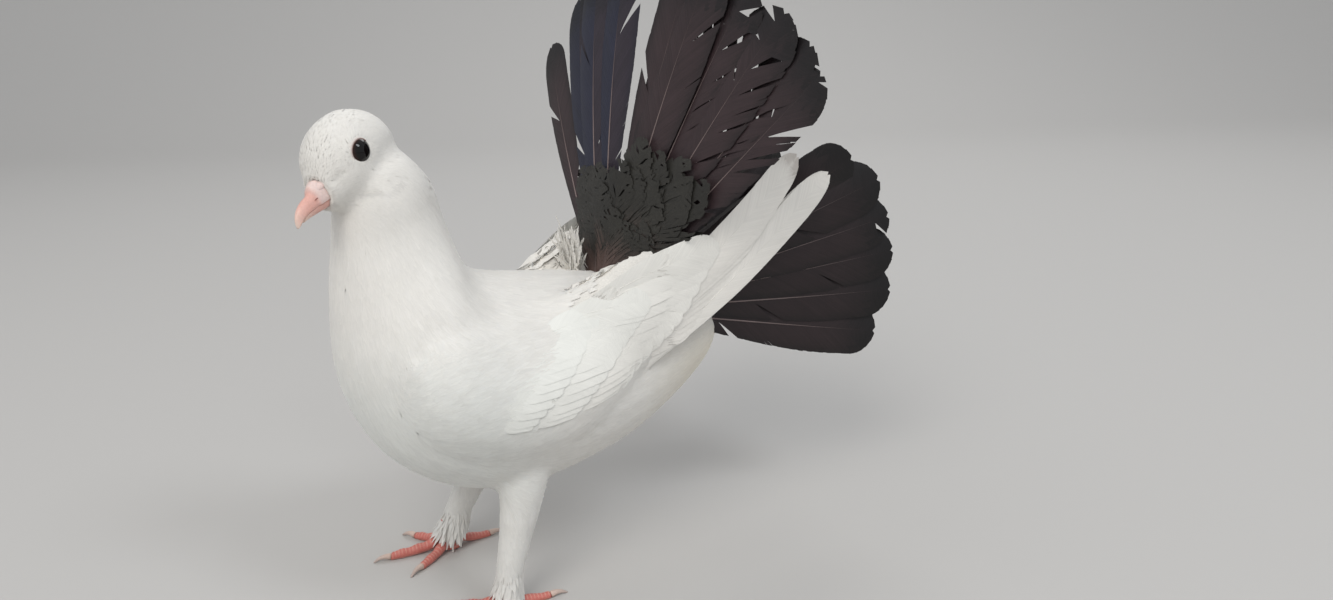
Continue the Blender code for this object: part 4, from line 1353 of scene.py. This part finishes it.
def make_down(material, rng):
    """A tuft of white down where the tail rises from the rump."""
    pile = Pile()
    places = cells(DOWN_PLUMES, 6)
    for _ in range(DOWN_PLUMES):
        root = DOWN_ROOT + rng.normal(0, 1, 3) * (2.4, 1.0, 2.5)
        way = unit(np.array([0.06, -0.1, 1.0]) + rng.normal(0, 1, 3) * (0.2, 0.14, 0.1))
        length = rng.uniform(10, 20)
        side = unit(np.cross(way, rng.normal((0.3, -1.0, 0.0), 0.3)))
        normal = np.cross(side, way)
        t = np.linspace(0, 1, 10)
        bend = rng.normal(0, 2.2)
        centres = root + way * (length * t)[:, None] + side * (bend * t ** 2)[:, None]
        wide = rng.uniform(0.7, 1.3) * np.sin(pi * (0.1 + 0.85 * t)) ** 0.7
        shape = Feather(t, centres, [side] * 10, [normal] * 10, wide, wide)
        lay_feather(pile, shape, next(places), down_colour, rng, count=18, slant=1.1, ragged=0.22,
                    splits=2, loose=0.3, shaft=0.12, vary=0.02)
    pile.build("rump_down", material)


# Wings

# Rows of wing feathers, inner layer first: how many, where the lowest, middle and highest root
# and tip lie as (forward, height), the half width, the first and the last layer, and the barbs.
WING_TIERS = (
    (10, ((-46, 82), (-47, 84), (-48, 88)), ((-141.5, 149.5), (-147.5, 155.5), (-145, 155.5)),
     6.8, 0.8, 2.6, 60),
    (12, ((-16, 84), (-28, 97), (-42, 107)), ((-80, 107), (-102, 130), (-129, 165.5)), 7.0, 3.0, 4.3, 44),
    (12, ((-10, 84), (-20, 96), (-36, 117)), ((-50, 92), (-72, 110), (-91, 135)), 6.4, 4.0, 4.8, 28),
    (12, ((2, 84), (-8, 97), (-22, 111)), ((-26, 87), (-46, 102), (-60, 118)), 5.8, 4.4, 5.0, 24),
    (12, ((12, 86), (2, 98), (-12, 109)), ((-8, 86), (-26, 100), (-40, 114)), 5.2, 4.4, 5.0, 20),
)
FLUSH = (0.3, 0.5, 0.7, 0.85, 0.95)  # how far each row lies out from the skin of the arm
FLUSH_EDGE = 1.5  # how much further in they lie at the arm's lower edge
WING_BOWS = (-14.0, -24.0, 9.0, 6.0, 0.0)  # the curve of each row's highest feather
COOL_ROWS = (0.0, 0.0, 0.3, 0.6, 0.8)  # how much each row takes on the breast's cooler white
OFF_ARM = (-78, -66)  # how far forward the feathers come off the arm's skin
TIP_GREY = (0.30, 0.25, 0.22)


def lying_out(flank, skin, side, spot, lift, flush):
    """How far out a wing feather lies: over the flank, and on the arm close to its skin."""
    out = wing_out(flank, spot[0], spot[1], lift)
    hit = skin.ray_cast((FAR_OUT * side, -spot[0], spot[1]), (-float(side), 0.0, 0.0))[0]
    if not hit or spot[0] < OFF_ARM[0]:
        return out
    edge = 1 - float(smoothstep(0, 9, spot[1] - covered_from(-spot[0]))) * float(smoothstep(14, 0, spot[0]))
    arm = abs(hit[0]) + flush - FLUSH_EDGE * edge
    share = float(smoothstep(-72, -58, spot[0]))
    out = out - 3.0 * share
    arm = out - 2.0 + (arm - out + 2.0) * float(smoothstep(*OFF_ARM, spot[0]))
    return (out + arm + ((out - arm) ** 2 + 0.4) ** 0.5) / 2


def wing_shape(flank, skin, side, root, tip, width, layer, flush, bow, sink, droop):
    """A Feather of the wing between two places (forward, height)."""
    root, tip = np.array(root, float), np.array(tip, float)
    along = unit(tip - root)
    across = np.array([-along[1], along[0]])
    if across[1] < 0:
        across = -across
    centres, sides, normals = [], [], []
    stations = towards_tip(20)
    for t in stations:
        spot = root + (tip - root) * t + across * bow * t * (1 - t)
        dip = sink * (1 - float(smoothstep(0.0, 0.5, t)))
        lift = layer - dip - droop * float(smoothstep(0.5, 1.0, t))

        def place(point, more):
            out = lying_out(flank, skin, side, point, lift + more, flush - dip + 0.5 * more)
            return np.array([side * out, -point[0], point[1]])

        upper = place(spot + across * width, -0.3)
        lower = place(spot - across * width, 0.3)
        edge = (upper - lower) / 2
        normal = unit(np.cross(np.array([0.0, -along[0], along[1]]), edge))
        if normal[0] * side < 0:
            normal = -normal
        centres.append((place(spot, 0.0) * 2 + upper + lower) / 4)
        sides.append(edge)
        normals.append(normal)
    grow = 0.45 + 0.55 * smoothstep(0.0, 0.6, stations)
    wide = width * grow * rounded(stations, 0.14)
    return Feather(stations, centres, sides, normals, wide, wide)


def wing_colours(rng, tip_grey, cool):
    base = rng.normal(1, 0.012)
    tone = mix(WHITE, COOL, cool)

    def colour(along, out, sign):
        return mix(tone, TIP_GREY, smoothstep(0.9, 1.0, along) * tip_grey) * base

    return colour


def make_wings(surface, material, rng):
    flank = Flank()
    for side_name, side in SIDES:
        pile = Pile()
        places = cells(sum(row[0] for row in WING_TIERS), 8)
        for tier, (count, roots, tips, width, low, high, bundles) in enumerate(WING_TIERS):
            for i in range(count):
                t = 2 * i / (count - 1)
                layer = low + (high - low) * i / (count - 1)
                bow = rng.normal(3, 0.6)
                bow += WING_BOWS[tier] * float(smoothstep(0.6, 2.0, t))
                droop = 1.1 * float(smoothstep(1.6, 1.1, t)) if tier == 1 else 0.2
                shape = wing_shape(flank, surface.tree, side, spline(roots, t), spline(tips, t), width,
                                   layer, FLUSH[tier], bow, 1.5, droop)
                tip_grey = 0.5 if tier == 1 and i == count - 1 else 0.0
                tint = wing_colours(rng, tip_grey, COOL_ROWS[tier])
                lay_feather(pile, shape, next(places), tint, rng, count=bundles,
                            slant=1.5, ragged=0.004, splits=int(rng.random() < 0.3), shaft=0.3, vary=0.008)
        pile.build(f"feathers_{side_name}", material, (f"wing_{side_name}",))


# Shoulder feathers, which close the hollow between the back and the far wing.
SHOULDER_ROWS = 4
SHOULDER_COUNT = 7
SHOULDER_SLOPE = 0.8  # how steeply they rise to the wing
SHOULDER_WIDTH = 6.2


def crest(surface, side, out, back):
    """The upper surface there, with the hollow beside the wing filled."""
    heights = []
    for step in (-12, -9, -6, -3, 0, 3, 6, 9, 12):
        hit = surface.tree.ray_cast((side * (out + step), back, FAR_OUT), (0.0, 0.0, -1.0))[0]
        if hit:
            heights.append(hit[2] - SHOULDER_SLOPE * abs(step))
    top = max(heights)
    return np.array([side * out, back, top + np.log(np.exp(np.array(heights) - top).sum()) - 0.4])


def shoulder_shape(surface, side, root, tip, rise):
    """A Feather between two places (out, back) over the filled hollow."""
    t = np.linspace(0, 1, 12)
    centres, sides, normals = [], [], []
    for share, (x, y) in zip(t, root + (tip - root) * t[:, None]):
        edge = unit(crest(surface, side, x + 4, y) - crest(surface, side, x - 4, y))
        ahead = unit(crest(surface, side, x, y + 3) - crest(surface, side, x, y - 3))
        normal = unit(np.cross(edge, ahead))
        normal = normal if normal[2] > 0 else -normal
        centres.append(crest(surface, side, x, y) + normal * (rise + 0.3 * share))
        sides.append(edge)
        normals.append(normal)
    wide = SHOULDER_WIDTH * (0.5 + 0.5 * smoothstep(0, 0.5, t)) * rounded(t, 0.25)
    return Feather(t, centres, sides, normals, wide, wide)


def make_shoulder(surface, material, rng):
    pile = Pile()
    places = cells(SHOULDER_ROWS * SHOULDER_COUNT, 7)
    for row in range(SHOULDER_ROWS):
        for i in range(SHOULDER_COUNT):
            across, back = i / (SHOULDER_COUNT - 1), row / (SHOULDER_ROWS - 1)
            root = np.array([12 + 13 * across, 10 + 20 * back]) + rng.normal(0, 0.4, 2)
            tip = root + np.array([2 + 3 * across, 24 + 4 * across])
            shape = shoulder_shape(surface, -1, root, tip, 0.1 + 0.6 * across)
            lay_feather(pile, shape, next(places), wing_colours(rng, 0.0, 0.0), rng, count=20,
                        slant=1.4, ragged=0.01, shaft=0.15, vary=0.008)
    pile.build("shoulder_right", material)


# Stage

CAMERA_AT = np.array([364.60581, -106.65646, 230.0])
CAMERA_RIGHT = np.array([0.47692324, 0.87848698, -0.02836997])
CAMERA_UP = np.array([-0.24410781, 0.16339353, 0.95588385])
CAMERA_FORWARD = np.array([-0.84436698, 0.44895789, -0.2923717])
LENS = 27.5
LIGHT_AIM = (0, 0, 0.12)
LIGHTS = (  # name, place, size, power and colour
    ("key", (0.9, -1.0, 1.5), 1.1, 16.0, (1.0, 0.97, 0.93)),
    ("fill", (1.0, 0.5, 1.45), 0.5, 6.0, (0.93, 0.96, 1.0)),
    ("back", (-1.0, 0.8, 1.3), 1.0, 7.0, (1, 1, 1)),
)


def make_camera():
    data = bpy.data.cameras.new("camera")
    data.sensor_width = 36.0
    data.lens = LENS
    data.clip_start = 0.01
    data.clip_end = 50.0
    camera = placed("camera", data)
    turn = Matrix((CAMERA_RIGHT, CAMERA_UP, -CAMERA_FORWARD)).transposed().to_4x4()
    camera.matrix_world = Matrix.Translation(Vector(to_row(CAMERA_AT))) @ turn
    bpy.context.scene.camera = camera


def make_light(name, at, size, power, colour):
    data = bpy.data.lights.new(name, "AREA")
    data.shape = "DISK"
    data.size = size
    data.energy = power
    data.color = colour
    made = placed(name, data)
    made.location = at
    way = Vector(LIGHT_AIM) - Vector(at)
    made.rotation_mode = "QUATERNION"
    made.rotation_quaternion = way.to_track_quat("-Z", "Y")


def make_stage():
    made, _, shader = new_material("floor", 0.85, specular=0.2)
    shader.inputs["Base Color"].default_value = (0.50, 0.49, 0.475, 1)
    ahead = unit(np.array([CAMERA_FORWARD[0], CAMERA_FORWARD[1], 0.0]))
    across = np.array([ahead[1], -ahead[0], 0.0])
    profile = [(-3.0, 0.0), (0.0, 0.0), (1.2, 0.0)]
    profile += [(1.2 + 0.9 * sin(a), 0.9 * (1 - cos(a))) for a in np.linspace(0, pi / 2, 20)[1:]]
    profile += [(2.1, 3.0)]
    rows = [[ahead * d + across * w + np.array([0, 0, h]) for w in (-3.5, 3.5)] for d, h in profile]
    points = np.array(rows).reshape(-1, 3)
    quads = np.array([(2 * i, 2 * i + 1, 2 * i + 3, 2 * i + 2) for i in range(len(rows) - 1)])
    mesh_object("backdrop", points, quads, made)
    world = bpy.data.worlds.new("world")
    world.use_nodes = True
    background = world.node_tree.nodes["Background"]
    background.inputs["Color"].default_value = (0.80, 0.82, 0.85, 1)
    background.inputs["Strength"].default_value = 0.75
    bpy.context.scene.world = world
    for row in LIGHTS:
        make_light(*row)


def main():
    rng = np.random.default_rng(11)
    bpy.context.scene.view_settings.view_transform = "Standard"
    skin_material = tinted("down", 0.85, grain=1500.0, grain_depth=0.05, bump=0.3, sheen=0.1)
    coat_material = tinted("white_coat", 0.8, mottle=0.02, bump=0.1, streak=(5.0, 1.2, 1.0),
                           sheen=0.2, subsurface=0.1)
    wing_material = tinted("white_vane", 0.65, mottle=0.02, bump=0.12, streak=(0.5, 160.0, 1.0), sheen=0.1)
    tail_material = tinted("black_vane", 0.45, mottle=0.08, grain_depth=0.12, bump=0.15,
                           streak=(0.5, 240.0, 1.0), specular=0.35)
    eye_material = tinted("eye_gloss", 0.05, mottle=0.02, bump=0, coat=0.2, specular=0.22)
    lid_material = tinted("eyelid_skin", 0.55, grain=2600.0, bump=0.35)
    bill_material = tinted("bill_horn", 0.38, grain=1400.0, grain_depth=0.04, bump=0.1, subsurface=0.15)
    cere_material = tinted("cere_powder", 0.85, grain=3000.0, grain_depth=0.06, bump=0.3, sheen=0.2)
    nostril_shade_material = tinted("nostril_painted_shade", 0.7)
    toe_material = tinted("toe_scutes", 0.42, grain=2400.0, grain_depth=0.08, bump=0.3, subsurface=0.1)
    horn_material = tinted("claw_horn", 0.35, grain=1600.0, bump=0.1)
    surface = make_skin(skin_material)
    make_coat(surface, coat_material, rng)
    make_eyes(eye_material, lid_material)
    make_bill(bill_material, cere_material, nostril_shade_material)
    make_feet(toe_material, horn_material)
    make_wings(surface, wing_material, rng)
    make_shoulder(surface, wing_material, rng)
    make_down(coat_material, rng)
    make_tail(tail_material, rng)
    make_stage()
    make_camera()


main()
